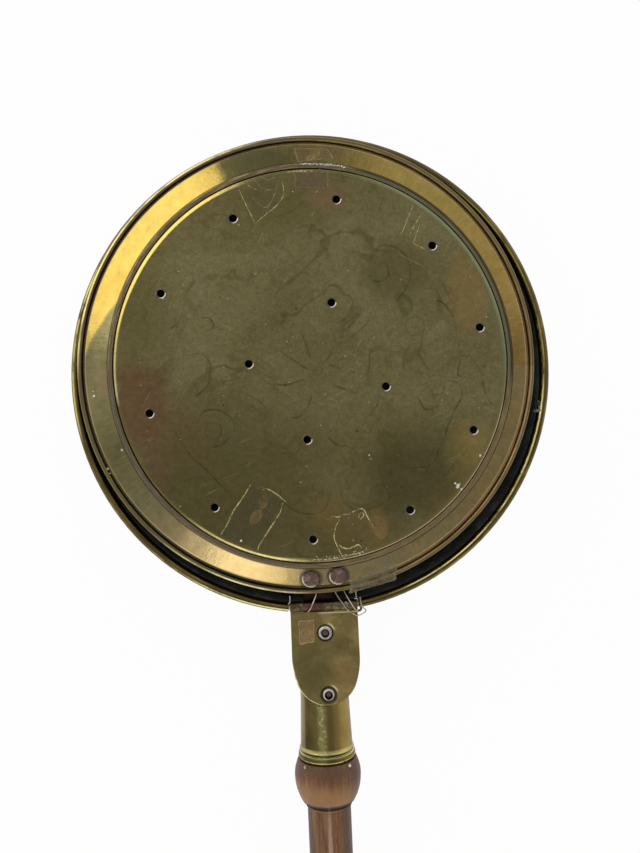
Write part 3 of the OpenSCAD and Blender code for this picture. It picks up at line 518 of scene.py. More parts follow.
wood, tree, shader = new_material("waxed fruitwood")
where = xyz(place_of(tree))
lean = add(tree, "Mapping", {"Vector": place_of(tree), "Rotation": (rise, 0, 0)}).outputs[0]
fibre = noise(stretched(lean, (420, 26, 420)), 1, 6, 0.7, 0.3)
pore = noise(stretched(lean, (900, 140, 900)), 1, 3, 0.6, 0.1, 2.0)
figure = noise(stretched(lean, (60, 9, 60)), 1, 4, 0.6, 0.8, 5.0)
cloud = noise(lean, 45, 5, 0.6, 0.5, 8.0)
tone = ramp(fibre, [(0.3, 82, 54, 32), (0.48, 118, 82, 48), (0.7, 152, 110, 66)])
tone = over(tone, srgb(92, 56, 37), between(figure, 0.4, 0.66), 0.5)
fleck = between(noise(stretched(lean, (620, 260, 620)), 1, 4, 0.7, 0.4, 3.0), 0.54, 0.66)
tone = over(tone, srgb(66, 40, 27), fleck, 0.55)
tone = over(tone, srgb(52, 32, 22), between(pore, 0.6, 0.72), 0.6)
along = use(tree, handle_line)["Along"]
on_ball = between(along, 25.5, 23.5)
blurred = plus(along, times(minus(cloud, 0.5), 14))
# The ball darker at its top, by grime and by painted shade under the bead.
top_grime_and_shade = times(on_ball, between(blurred, 12, 3))
tone = over(tone, srgb(86, 62, 42), top_grime_and_shade, 0.7)
# The ball's lower half lighter: painted light.
lower_ball_light = times(on_ball, between(blurred, 8, 17))
tone = over(tone, srgb(168, 124, 78), lower_ball_light, 0.55)
right_shade = times(on_ball, between(where[0], 0.009, 0.019))
tone = over(tone, srgb(66, 42, 32), right_shade, 0.6)
tone = over(tone, srgb(30, 22, 19), ring_mask(along, 23.7, 27.2, 0.5), 0.92)
tone = over(tone, srgb(150, 112, 90), ring_mask(along, 27.4, 28.7, 0.2), 0.5)
# A pale streak down the shaft: a painted highlight.
polish = patch(tree, (0, -300), (1.3, 30), 0.5, 1.0)
tone = over(tone, srgb(196, 160, 146), polish, 0.5)
# The shaft darker towards both sides: painted shade.
side_shade = between(apart(where[0], -0.0012), 0.0075, 0.0135)
tone = over(tone, srgb(54, 36, 25), times(side_shade, minus(1, on_ball)), 0.65)
# The shaft's right third darker: painted shade.
right_third_shade = times(between(where[0], 0.002, 0.008), minus(1, on_ball))
tone = over(tone, srgb(70, 46, 28), right_third_shade, 0.35)
paint(shader, Base_Color=tone, Roughness=spread(cloud, 0.4, 0.62), Specular_IOR_Level=0.35,
      Coat_Weight=0.1, Coat_Roughness=0.3, Normal=bumped(plus(fibre, pore), 0.00035))
dress(wood, "handle_shaft")

pale_wire = old_metal("tinned wire", 0.9, 0.0002, (226, 216, 200), (160, 146, 126), (92, 74, 60),
                      Amount=0.5, Scale=6.0, Smooth=0.25, Seed=5.0)
dress(pale_wire, "handle_nails", "tie_wire_loop", "tie_wire_corner", "tie_wire_strap", "hinge_pin")

# ---- Lid band ----
# The lid's outer ring, spun from brass sheet: a rolled edge, a steep cove that is never
# polished, a bright sloping band and the ridge that holds the panel.
lid_centre = (-2.4, 5.1, 0)
panel_centre = (0.6, 3.9, 0)
lid_rivets = ((-4.9, -126.6, 0), (11.9, -125.5, 0))


def green_side_of(panel_here):
    """Above the middle on the right, where the ridge and the panel's edge have gone green."""
    return capped(between(panel_here["Turn"], 0.77, 0.8), between(panel_here["Turn"], 0.03, 0.0))


def underside(tree):
    """1 where the surface faces down."""
    return between(upward(tree), -0.1, -0.3)


band_metal, tree, shader = new_material("bright band brass")
lid_here = use(tree, about, Centre=lid_centre)
panel_here = use(tree, about, Centre=panel_centre)
skin = use(tree, tarnish, Clean=(1, 1, 1), Film=(0.78, 0.78, 0.76), Spots=(0.3, 0.28, 0.24), Amount=0.3,
           Smooth=0.13, Seed=1.0)
drift = times(minus(noise(place_of(tree), 34, 7, 0.68, 0.4), 0.5), 0.03)
slant = times(ring_mask(lid_here["Turn"], 0.48, 0.58, 0.02), 0.0028, minus(137, lid_here["Radius"]))
turn = minus(plus(lid_here["Turn"], times(drift, 0.6)), slant)
# Colour round the band: tarnish that differs round it, and brighter gold where the lamps' highlights fall,
# partly cleaner brass and partly painted highlight.
tone = ramp(turn, [
    (0.0, 150, 131, 88), (0.1, 142, 125, 82), (0.2, 150, 136, 98), (0.25, 150, 134, 98),
    (0.262, 190, 166, 110), (0.285, 222, 194, 134), (0.34, 236, 210, 150), (0.357, 168, 150, 108),
    (0.38, 142, 135, 96), (0.43, 124, 117, 78), (0.47, 160, 153, 106), (0.503, 146, 138, 96),
    (0.508, 230, 200, 104), (0.54, 226, 188, 90), (0.56, 228, 198, 98), (0.68, 232, 200, 102),
    (0.686, 118, 112, 70), (0.73, 108, 102, 64), (0.775, 132, 116, 74), (0.79, 150, 132, 74),
    (0.88, 152, 132, 72), (0.96, 146, 122, 68)])
tone = mixed(1.0, tone, skin["Color"], blend="MULTIPLY")
rays_of_polish = noise(vector(times(lid_here["Turn"], 620), times(lid_here["Radius"], 0.09)), 1.0, 4, 0.7)
tone = over(tone, srgb(236, 190, 130), between(rays_of_polish, 0.45, 0.75), 0.16)
blush = times(between(lid_here["Radius"], 130.5, 136),
              between(noise(place_of(tree), 70, 5, 0.6), 0.42, 0.62))
tone = over(tone, srgb(206, 158, 108), blush, 0.14)
left_blot = patch(tree, (-127, 0), (4.5, 9), 0.6, 0.9, 70.0)
top_blot = patch(tree, (-27, 131), (21, 8), 0.15, 0.9, 70.0)
tone = over(tone, srgb(156, 130, 98), left_blot, 0.5)
tone = over(tone, srgb(92, 88, 58), top_blot, 0.6)
for centre in lid_rivets:
    from_middle = use(tree, about, Centre=centre)["Radius"]
    tone = over(tone, srgb(70, 62, 58), ring_mask(from_middle, 5.6, 7.2, 0.4), 0.65)
cove = ring_mask(lid_here["Radius"], 136.3, 140.6, 0.35)
rim = between(lid_here["Radius"], 140.2, 140.8)
cove_tone = ramp(lid_here["Turn"], [
    (0.0, 196, 172, 128), (0.12, 186, 156, 112), (0.22, 170, 150, 108), (0.27, 116, 108, 80),
    (0.42, 140, 130, 88), (0.5, 140, 120, 98), (0.55, 140, 116, 98), (0.7, 136, 120, 96),
    (0.76, 166, 148, 100), (0.9, 176, 152, 108)])
cove_streak = noise(vector(times(lid_here["Turn"], 40), times(lid_here["Radius"], 1.1)), 1.0, 6, 0.7)
cove_tone = scaled(cove_tone, spread(cove_streak, 0.55, 1.25, 0.35, 0.65))
# Painted shade in the crease at the cove's inner edge.
cove_crease_shade = ring_mask(lid_here["Radius"], 136.0, 137.3, 0.3)
cove_tone = over(cove_tone, srgb(48, 38, 30), cove_crease_shade, 0.4)
tone = mixed(cove, tone, cove_tone)
# The rolled edge: its tarnish, with painted highlights where the lamps fall on it.
rim_tone = ramp(lid_here["Turn"], [
    (0.0, 134, 116, 84), (0.245, 132, 116, 84), (0.27, 236, 226, 180), (0.34, 214, 204, 150),
    (0.37, 124, 114, 72), (0.49, 140, 128, 78), (0.515, 250, 236, 160), (0.69, 250, 232, 160),
    (0.72, 116, 108, 74), (0.82, 120, 106, 70)])
rim_tone = over(rim_tone, srgb(104, 90, 60), between(noise(place_of(tree), 50, 5, 0.6), 0.45, 0.62), 0.6)
tone = mixed(rim, tone, rim_tone)
ridge = ring_mask(panel_here["Radius"], 120.6, 123.7, 0.3)
ridge_grime = noise(vector(times(panel_here["Turn"], 60), times(panel_here["Radius"], 1.2)), 1.0, 6, 0.7)
ridge_tone = ramp(ridge_grime, [(0.3, 78, 66, 46), (0.5, 140, 122, 90), (0.72, 206, 190, 146)])
green_side = green_side_of(panel_here)
mossy = mixed(between(panel_here["Radius"], 121.9, 122.6), srgb(124, 128, 100), srgb(66, 54, 36))
ridge_tone = over(ridge_tone, mossy, green_side, 0.85)
low_side = ring_mask(panel_here["Turn"], 0.02, 0.22, 0.02)
ridge_tone = over(ridge_tone, srgb(146, 128, 92), low_side, 0.5)
left_side = ring_mask(panel_here["Turn"], 0.26, 0.5, 0.03)
ridge_tone = over(ridge_tone, srgb(120, 110, 98), left_side, 0.6)
tone = mixed(ridge, tone, ridge_tone)
# Painted shade in the creases each side of the ridge.
crease = calc("MAXIMUM", ring_mask(panel_here["Radius"], 123.6, 124.3, 0.3),
              times(between(panel_here["Radius"], 120.7, 120.2),
                    minus(1, calc("MAXIMUM", green_side, low_side))))
tone = over(tone, srgb(40, 34, 22), crease, 0.8)
# Painted shade on faces that face down.
tone = over(tone, srgb(70, 60, 40), underside(tree), 0.7)
dull = calc("MAXIMUM", cove, calc("MAXIMUM", left_blot, top_blot))
paint(shader, Base_Color=tone, Metallic=1.0,
      Roughness=capped(skin["Roughness"], plus(times(ridge, 0.26), times(dull, 0.16))),
      Normal=bumped(plus(skin["Height"], times(rays_of_polish, 0.25)), 0.00016))
dress(band_metal, "lid_band")

# ---- Lid panel ----
# The round sheet of the lid, planished, engraved and pierced with two rings of vents. Its
# field is dull olive with old tarnish; its sloping edge is brighter, with painted highlights where the lamps
# fall on it.
panel_metal, tree, shader = new_material("dull panel brass")
panel_here = use(tree, about, Centre=panel_centre)
place = place_of(tree)
broad = noise(place, 13, 6, 0.55, 0.7, 1.0)
middle = noise(place, 48, 7, 0.65, 0.9, 2.0)
fine = noise(place, 260, 6, 0.7, 0.2, 3.0)
tone = ramp(broad, [(0.3, 126, 117, 76), (0.5, 140, 131, 90), (0.7, 148, 139, 100)])
tone = over(tone, srgb(112, 103, 64), between(middle, 0.5, 0.72), 0.4)
tone = over(tone, srgb(162, 151, 112), between(middle, 0.46, 0.3), 0.4)
# Scrollwork polished nearly away: soft curling lines that come and go.
curl = noise(place, 17, 2, 0.4, 2.2, 5.0)
curl = between(apart(curl, 0.5), 0.035, 0.008)
fade = between(noise(place, 30, 4, 0.6, 0, 9.0), 0.44, 0.62)
tone = over(tone, srgb(96, 88, 54), times(curl, fade), 0.5)
tone = scaled(tone, spread(noise(place, 620, 5, 0.75), 0.8, 1.18, 0.3, 0.7))
# Stains of the field: colour, share, centre and size in mm, softness, raggedness.
field_stains = (
    ((108, 98, 56), 0.6, (-106, 40), (26, 46), 0.7, 0.5),
    ((116, 105, 62), 0.55, (-10, 112), (70, 22), 0.8, 0.5),
    ((96, 88, 54), 0.75, (-62, -66), (56, 44), 0.7, 0.5),
    ((100, 90, 54), 0.6, (0, -104), (70, 26), 0.8, 0.5),
    ((112, 102, 62), 0.5, (-10, -58), (52, 34), 0.8, 0.6),
    ((124, 92, 66), 0.75, (-104, -15), (17, 25), 0.3, 0.9),
    ((124, 96, 70), 0.5, (-96, -52), (9, 22), 0.6, 0.9),
    ((152, 132, 78), 0.5, (82, -82), (12, 14), 0.7, 0.8),
    ((120, 98, 62), 0.45, (-78, -34), (16, 20), 0.6, 0.8),
    ((150, 120, 88), 0.55, (15, 106), (11, 8), 0.5, 0.5),
    ((158, 134, 84), 0.65, (98, 45), (12, 25), 0.45, 0.6),
    ((108, 99, 62), 0.55, (54, 60), (20, 17), 0.35, 0.5),
    ((168, 144, 76), 0.6, (96, -53), (13, 17), 0.6, 0.5),
    ((88, 80, 50), 0.75, (62, -66), (30, 26), 0.6, 0.8),
    ((150, 122, 70), 0.45, (37, -97), (6, 12), 0.6, 1.3),
    ((142, 118, 68), 0.5, (8, -85), (9, 9), 0.8, 1.3),
    ((130, 108, 66), 0.5, (22, -98), (16, 12), 0.7, 1.0))
for colour, share, centre, size, soft, ragged in field_stains:
    tone = over(tone, srgb(*colour), patch(tree, centre, size, soft, ragged, 60.0), share)
tone = scaled(tone, spread(fine, 0.82, 1.2, 0.25, 0.75))

# Pale specks of dried polish, each cell of the pattern with its own chance of one.
specks, given, made = group("specks", [("Scale", "Float", 200.0), ("Share", "Float", 0.2),
                                       ("Size", "Float", 0.2)], [("Mask", "Float")])
cells = add(specks, "TexVoronoi", {"Vector": place_of(specks), "Scale": given["Scale"]})
chosen = calc("LESS_THAN", xyz(cells.outputs["Color"])[0], given["Share"])
in_dot = between(cells.outputs["Distance"], given["Size"], times(given["Size"], 0.6))
put(made["Mask"], times(chosen, in_dot))

# Fine scratches of the polishing rag, in crossing directions.
scratches, given, made = group("scratches", [("Scale", "Float", 1.0)], [("Mask", "Float")])
lines = None
for angle, seed in ((0.5, 1.0), (2.1, 4.0), (1.2, 8.0)):
    turned = add(scratches, "Mapping", {"Vector": place_of(scratches),
                                        "Rotation": (0, 0, angle)}).outputs[0]
    longwise = vector_calc("MULTIPLY", turned, (1400, 34, 34))
    hair = between(noise(scaled(longwise, given["Scale"]), 1, 2, 0.5, 0.2, seed), 0.68, 0.74)
    hair = times(hair, between(noise(turned, 30, 2, 0.5, 0, seed), 0.5, 0.6))
    lines = hair if lines is None else calc("MAXIMUM", lines, hair)
put(made["Mask"], lines)

white_specks = use(tree, specks, Scale=230.0, Share=0.07, Size=0.16)["Mask"]
dark_specks = use(tree, specks, Scale=150.0, Share=0.05, Size=0.14)["Mask"]
hairlines = use(tree, scratches, Scale=1.0)["Mask"]
tone = over(tone, srgb(176, 166, 124), hairlines, 0.25)
tone = over(tone, srgb(206, 200, 176), white_specks, 0.6)
tone = over(tone, srgb(52, 46, 28), dark_specks, 0.6)
drift = times(minus(noise(place, 30, 5, 0.6), 0.5), 0.04)
edge_turn = plus(panel_here["Turn"], drift)
# The sloping edge round the panel: painted highlights where the lamps fall on it.
edge_tone = ramp(edge_turn, [
    (0.0, 138, 134, 96), (0.05, 136, 126, 80), (0.12, 134, 122, 76), (0.25, 132, 120, 76),
    (0.27, 230, 216, 150), (0.34, 214, 196, 130), (0.365, 128, 116, 72), (0.47, 124, 112, 66),
    (0.48, 220, 210, 160), (0.53, 226, 200, 116), (0.56, 248, 220, 122), (0.66, 248, 220, 122),
    (0.685, 200, 184, 124), (0.7, 128, 118, 76), (0.78, 124, 118, 80), (0.81, 128, 134, 104),
    (0.95, 128, 136, 106)])
edge_soft = spread(ring_mask(panel_here["Turn"], 0.26, 0.7, 0.03), 2.6, 0.35)
edge_start = spread(ring_mask(panel_here["Turn"], 0.26, 0.55, 0.03), 117.5, 118.3)
on_edge = between(panel_here["Radius"], minus(edge_start, edge_soft), plus(edge_start, edge_soft))
tone = mixed(on_edge, tone, edge_tone)
low_side = ring_mask(panel_here["Turn"], 0.03, 0.24, 0.02)
# Painted shade in the groove round the panel, lighter on the green side and the low side.
in_groove = between(panel_here["Radius"], 119.4, 119.7)
mild = capped(times(green_side_of(panel_here), 0.8), times(low_side, 0.9))
groove_shade = calc("MULTIPLY", in_groove, minus(0.85, mild), clamp=True)
tone = mixed(groove_shade, tone, srgb(44, 38, 26))
# A pale line just inside the groove on the low side.
brightened = times(between(panel_here["Radius"], 118.9, 119.4), low_side)
tone = over(tone, srgb(226, 206, 172), brightened, 0.8)
# Painted shade on faces that face down.
tone = over(tone, srgb(60, 52, 36), underside(tree), 0.7)
satin = spread(middle, 0.36, 0.5, 0.3, 0.7)
paint(shader, Base_Color=tone, Metallic=1.0, Roughness=minus(satin, times(on_edge, 0.2)),
      Normal=bumped(plus(times(fine, 0.5), minus(middle, times(hairlines, 0.3))), 0.00022))
dress(panel_metal, "lid_panel")


def new_piece(name, points, faces, material, body, slot=None, smooth=True):
    """A mesh piece in mm that rides on a body."""
    mesh = bpy.data.meshes.new(name)
    mesh.from_pydata([Vector(point) / 1000 for point in points], [], faces)
    mesh.update()
    if smooth:
        mesh.shade_smooth()
    mesh.materials.append(material)
    piece = bpy.data.objects.new(name, mesh)
    scene.collection.objects.link(piece)
    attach(piece, body)
    return piece


def skin_of(*names):
    """A search tree over the surfaces of CAD nodes."""
    points, faces = [], []
    for name in names:
        mesh = parts[name].data
        start = len(points)
        points += [tuple(vertex.co) for vertex in mesh.vertices]
        faces += [tuple(start + i for i in polygon.vertices) for polygon in mesh.polygons]
    return BVHTree.FromPolygons(points, faces)


def straight_down(surface, x, y):
    """The place in metres and the normal where a line down at x and y in mm meets a surface."""
    above = 0.2
    return surface.ray_cast(Vector((x / 1000, y / 1000, above)), Vector((0, 0, -1)))[:2]


def top_at(surface, x, y, lift=0.0):
    """The place in mm on a surface at x and y, raised by lift along its normal.

    Over a hole or past the edge, the height is that of the nearest of some places around.
    """
    for aside, ahead in ((0, 0), (3, 0), (-3, 0), (0, 3), (0, -3), (5, 5), (-5, 5), (5, -5), (-5, -5)):
        hit, normal = straight_down(surface, x + aside, y + ahead)
        if hit:
            break
    return Vector((x, y, hit.z * 1000)) + normal * lift


def on_circle(centre, r, turn):
    return centre[0] + r * math.cos(turn), centre[1] + r * math.sin(turn)


lid_top = skin_of("lid_panel", "lid_band")

# The burr that the punch left round each vent, with a painted highlight on one side of its inner slope.
vent_r = 2.35
vents = ((20.6, 104.2), (77.5, 73.7), (103.8, 22.8), (96.8, -38.9), (57.1, -86.3), (-2.6, -102.4),
         (-61.7, -79.8), (-97.3, -20.5), (-88.0, 51.3), (-42.9, 96.1), (14.8, 41.9), (45.3, -10.5),
         (-3.5, -41.1), (-36.6, 6.6))


def hole_middle(surface, x, y):
    """The middle of the hole near x and y in mm, out of the ways straight down that meet nothing."""
    step, reach = 0.3, 12
    tries = [(x + i * step, y + j * step) for i in range(-reach, reach + 1)
             for j in range(-reach, reach + 1)]
    clear = [spot for spot in tries if straight_down(surface, *spot)[0] is None]
    return [sum(spot[k] for spot in clear) / len(clear) for k in (0, 1)]


def uv_of(tree):
    return add(tree, "TexCoord").outputs["UV"]


burr_metal, tree, shader, skin = metal("burr with painted highlight", (120, 108, 96), (84, 74, 64), (50, 44, 36),
                                       Amount=0.5, Scale=6.0, Smooth=0.3, Seed=6.0)
# A painted highlight on one side of each burr's inner slope.
brightened = between(apart(xyz(uv_of(tree))[0], 0.9), 0.24, 0.1)
paint_metal(shader, mixed(brightened, skin["Color"], srgb(250, 246, 238)), skin, 0.0002, 0.9)

# The cuts that can still be seen, in mm: a flower round the middle, and scrolls round that.
strokes = {
    "petals": [
        [(0, 1), (-6, 5), (-13, 10), (-19, 15)], [(1, 8), (-2, 18), (-4, 25)], [(10, 6), (14, 12), (16, 20)],
        [(12, 4), (19, 1)], [(13, -8), (22, -12), (30, -15)], [(1, -13), (-2, -21), (-8, -27), (-13, -27)],
        [(-3, -4), (-14, -7), (-25, -6)]],
    "scrolls": [
        [(-70, -28), (-65, -21), (-55, -21), (-48, -27), (-47, -34)], [(-65, -43), (-56, -42), (-50, -37)],
        [(-84, -32), (-74, -48), (-65, -57), (-50, -74)],
        [(-73, 13), (-65, 14), (-60, 7), (-62, -5), (-71, -13)], [(-64, 36), (-59, 35), (-57, 30), (-62, 27)],
        [(40, 67), (47, 75), (59, 71), (64, 60), (61, 49), (53, 39)],
        [(38, 58), (43, 53), (50, 56), (50, 63)],
        [(69, 35), (80, 40), (88, 31), (90, 21), (88, 12)], [(72, -12), (75, -17), (80, -16), (82, -11)],
        [(65, -19), (70, -26), (78, -23)], [(82, -9), (89, -10), (92, -18), (87, -27), (82, -38), (79, -48)],
        [(76, -46), (75, -55), (70, -60), (58, -61)],
        [(15, -69), (17, -79), (25, -85), (35, -84), (44, -80), (45, -74), (39, -70), (32, -76)],
        [(-1, -73), (-1, -68), (3, -68), (5, -71), (1, -75), (0, -78)],
        [(-21, -67), (-20, -76), (-14, -83), (-4, -86), (5, -84), (10, -72)],
        [(9, -40), (15, -45), (20, -46)], [(92, 4), (90, -5), (93, -7)], [(85, -60), (82, -64), (78, -68)],
        [(-40, -53), (-44, -56)], [(52, -73), (54, -71)], [(-80, 32), (-83, 30)]]}
stroke_width = {"petals": 1.5, "scrolls": 1.3}
rings = {"petals": [(5.3, 0.7, 2.5)],
         "scrolls": [(65, 25, 5.8), (-60, -33, 5), (106, -1, 0.8), (105, -6, 0.8), (105, -11, 0.8)]}
ring_width = 0.7


def smooth_path(points, step):
    """A smooth curve through given points, in steps of about one length."""
    points = [Vector(point) for point in points]
    points = [points[0] * 2 - points[1]] + points + [points[-1] * 2 - points[-2]]
    path = []
    for a, b, c, d in zip(points, points[1:], points[2:], points[3:]):
        count = max(2, round((c - b).length / step))
        for i in range(count):
            t = i / count
            path.append(0.5 * (2 * b + (c - a) * t + (2 * a - 5 * b + 4 * c - d) * t * t
                               + (3 * b - a - 3 * c + d) * t ** 3))
    return path + [points[-2]]


cut_line, tree, shader = new_material("dirt in the engraving")
unevenness = noise(place_of(tree), 120, 5, 0.7, 0.3)
paint(shader, Base_Color=ramp(unevenness, [(0.35, 72, 65, 40), (0.7, 104, 94, 62)]), Metallic=0.6,
      Roughness=spread(unevenness, 0.45, 0.7), Alpha=spread(unevenness, 0.42, 0.04, 0.3, 0.66))

# Across a cut: the place as a share of its width, and the height there in mm.
cut_section = ((-0.5, 0.0), (-0.3, 0.045), (0, 0.015), (0.3, 0.045), (0.5, 0.0))


def engrave(points, faces, path, width, closed=False):
    """Adds one line of the lid's engraving or glue, thinning out at its ends unless it is closed."""
    start, rows, columns = len(points), len(path), len(cut_section)
    for i, point in enumerate(path):
        ahead, behind = path[min(i + 1, rows - 1)], path[max(i - 1, 0)]
        if closed:
            ahead, behind = path[(i + 1) % rows], path[i - 1]
        side = (ahead - behind).orthogonal().normalized()
        share = 1 if closed else math.sin(math.pi * min(1, max(0, (i + 0.6) / rows))) ** 0.45
        for across, lift in cut_section:
            spot = point + side * across * width * share
            points.append(top_at(lid_top, *spot, lift))
    for i in range(rows if closed else rows - 1):
        for j in range(columns - 1):
            a, b = start + i * columns + j, start + (i + 1) % rows * columns + j
            faces.append((a, a + 1, b + 1, b))


def ring_path(x, y, r, count=40):
    return [Vector(on_circle((x, y), r, i * math.tau / count)) for i in range(count)]


for name, cuts in strokes.items():
    points, faces = [], []
    for cut in cuts:
        engrave(points, faces, smooth_path(cut, 0.8), stroke_width[name])
    for ring in rings[name]:
        engrave(points, faces, ring_path(*ring), ring_width, closed=True)
    new_piece("engraved_" + name, points, faces, cut_line, "lid", "panel_brass")


def sheet_faces(rows, columns, start=0):
    """The faces of a sheet whose points are listed row by row."""
    corners = [start + row * columns + column for row in range(rows - 1) for column in range(columns - 1)]
    return [(a, a + columns, a + columns + 1, a + 1) for a in corners]


def lay_flat(piece, name, spots):
    """Gives each point of a piece its place in a flat map."""
    flat = piece.data.uv_layers.new(name=name)
    for loop in piece.data.loops:
        flat.data[loop.index].uv = spots[loop.vertex_index]


# From inside the hole outwards: distance beyond its edge and height, in mm. The burr is wider on
# one side and a little uneven.
burr_section = ((-0.05, -0.6), (0.05, -0.1), (0.3, 0.16), (0.5, 0.18), (0.8, -0.02))
ring_steps = 40
flat_r = vent_r + 1.2
points, faces, spots = [], [], []
for near in vents:
    middle = hole_middle(lid_top, *near)
    faces_from = len(points)
    for out, lift in burr_section:
        for i in range(ring_steps + 1):
            turn = i * math.tau / ring_steps
            wider = 0.25 * max(0, math.cos(turn + 0.7)) if lift > 0 else 0
            wobble = 1 + 0.04 * math.sin(3 * turn + middle[0]) + 0.03 * math.sin(7 * turn + middle[1])
            ground = top_at(lid_top, *on_circle(middle, flat_r, turn))
            points.append((*on_circle(middle, vent_r + out + wider, turn), ground.z + lift * wobble))
            spots.append((i / ring_steps, out))
    faces += sheet_faces(len(burr_section), ring_steps + 1, faces_from)
vent_burrs = new_piece("vent_burrs", points, faces, burr_metal, "lid", "panel_brass")
lay_flat(vent_burrs, "turn", spots)

# ---- Hinge strap, its rivets and burrs ----
# A strip of sheet copper, riveted under the band with two flat copper rivets on washers. It
# passes below the lid's edge and is rolled round the pin as the middle knuckle.
strap_metal, tree, shader, skin = metal("dark copper strap", (126, 92, 76), (84, 62, 54), (40, 34, 32),
                                        Amount=0.55, Scale=3.0, Smooth=0.32, Seed=3.0)
where = xyz(place_of(tree))
shade = ring_mask(times(where[1], 1000), -143.6, -134, 0.4)
tone = over(skin["Color"], srgb(34, 24, 20), shade, 0.85)
brassy = times(between(where[1], -0.1435, -0.1441), between(where[0], 0.0005, 0.0015))
knuckle_brass = ramp(noise(place_of(tree), 240, 6, 0.7),
                     [(0.36, 74, 66, 44), (0.52, 118, 108, 78), (0.66, 170, 160, 120)])
tone = over(tone, knuckle_brass, brassy, 0.75)
paint_metal(shader, tone, skin, 0.0003)
dress(strap_metal, "hinge_strap", "strap_burrs", "bracket_rivets")

rivet_copper, tree, shader, skin = metal("copper rivet heads", (166, 138, 128), (112, 90, 82),
                                         (48, 38, 36), Amount=0.6, Scale=6.0, Smooth=0.34, Seed=8.0)
tone = skin["Color"]
# Round each head: a dark ring at its edge, and a pale arc on one side of the edge that is a painted
# highlight.
for centre in lid_rivets:
    head = use(tree, about, Centre=centre)
    tone = over(tone, srgb(66, 54, 50), ring_mask(head["Radius"], 4.9, 5.7, 0.2), 0.6)
    brightened = times(ring_mask(head["Radius"], 4.8, 5.6, 0.2), ring_mask(head["Turn"], 0.18, 0.55, 0.06))
    tone = over(tone, srgb(236, 224, 206), brightened, 0.9)
paint_metal(shader, tone, skin, 0.0004)
dress(rivet_copper, "lid_rivet_left", "lid_rivet_right")

# ---- Loose wire ends at the hinge ----
# The pin's two ends stick up as bent tails, and a short hook of the same wire lies over the
# right knuckle. Below the pin the pan's rim is turned in a little at both ends of its notch.


def ring_faces(rings, sides, start=0):
    """The faces between rings of points that follow each other."""
    corners = [(start + ring * sides + j, start + ring * sides + (j + 1) % sides)
               for ring in range(rings - 1) for j in range(sides)]
    return [(a, b, b + sides, a + sides) for a, b in corners]


def wire(path, radius, sides=8):
    """The points and faces of a round wire along a path, its ends closed."""
    points = []
    for i, point in enumerate(path):
        ahead = path[min(i + 1, len(path) - 1)] - path[max(i - 1, 0)]
        aside = ahead.cross(Vector((0.3, 0.2, 1))).normalized()
        up = aside.cross(ahead).normalized()
        for j in range(sides):
            turn = j * math.tau / sides
            points.append(point + (aside * math.cos(turn) + up * math.sin(turn)) * radius)
    first_end, last_end = reversed(range(sides)), range(len(points) - sides, len(points))
    return points, ring_faces(len(path), sides) + [tuple(first_end), tuple(last_end)]


plate_top = skin_of("hinge_plate")
pin_tails = {"pin_tail_left": [(-18.9, -138.4, 74.7), (-19.0, -142.4, 74.9), (-20.0, -143.6, 74.4),
                               (-20.0, -145.9, 73.2), (-19.6, -148.0, 72.2)],
             "pin_tail_right": [(22.7, -137.4, 74.9), (22.6, -140.4, 75.0), (23.5, -143.2, 74.4),
                                (24.4, -145.9, 73.2)]}
for name, path in pin_tails.items():
    new_piece(name, *wire(smooth_path(path, 0.5), 0.36), pale_wire, "pan", "tie_wire")
hook_lift = 0.35
hook = [top_at(plate_top, x, y) + Vector((0, 0, hook_lift)) for x, y in (
    (15.4, -144.2), (15.7, -143.5), (16.3, -143.9), (16.7, -145.2), (16.6, -146.3), (16.0, -146.8))]
new_piece("wire_hook", *wire(smooth_path(hook, 0.4), 0.3), pale_wire, "pan", "tie_wire")
end_curl = [(23.9, -145.9, 73.1), (25.3, -147.3, 73.0), (25.6, -149.0, 72.6), (24.9, -150.2, 72.2),
            (23.6, -150.2, 72.0)]
new_piece("pin_end_curl", *wire(smooth_path(end_curl, 0.5), 0.75), rust, "pan", "rusty_steel")

# Each lip is one closed outline in y and z, drawn from x0 to x1; the ends at the notch sag.
notch_middle, notch_half, lip_sag = 2.1, 21.6, 0.3
points, faces = [], []
for x0, x1 in ((-21.0, -19.35), (23.55, 25.2)):
    start = len(points)
    for x in (x0, x1):
        sag = lip_sag if abs(x - notch_middle) < notch_half else 0
        outline = ((-148.4, 70.2), (-147.6, 71.4), (-146, 71.6 - sag), (-144, 71.5 - sag), (-143, 70.6),
                   (-143, 69.8), (-144.4, 70.4 - sag), (-146, 70.6 - sag), (-147.4, 70.3), (-148.1, 69.4))
        points += [(x, y, z) for y, z in outline]
    sides = len(outline)
    faces += [(start + j, start + (j + 1) % sides, start + sides + (j + 1) % sides, start + sides + j)
              for j in range(sides)]
    faces += [tuple(reversed(range(start, start + sides))), tuple(range(start + sides, start + 2 * sides))]
new_piece("notch_lips", points, faces, pan_metal, "pan", "pan_brass", smooth=False)

# ---- Painted highlight on the edge of the hinge plate ----
# The plate's lower left edge carries a painted highlight: a thin bright strip that lies on the plate
# and turns down over its edge.
edge_highlight_material, tree, shader = new_material("plate edge with painted highlight")
glint_grain = noise(place_of(tree), 260, 5, 0.65)
paint(shader, Base_Color=ramp(glint_grain, [(0.35, 190, 176, 120), (0.6, 255, 250, 214)]), Metallic=0.3,
      Roughness=spread(glint_grain, 0.2, 0.4), Normal=bumped(glint_grain, 0.0001))
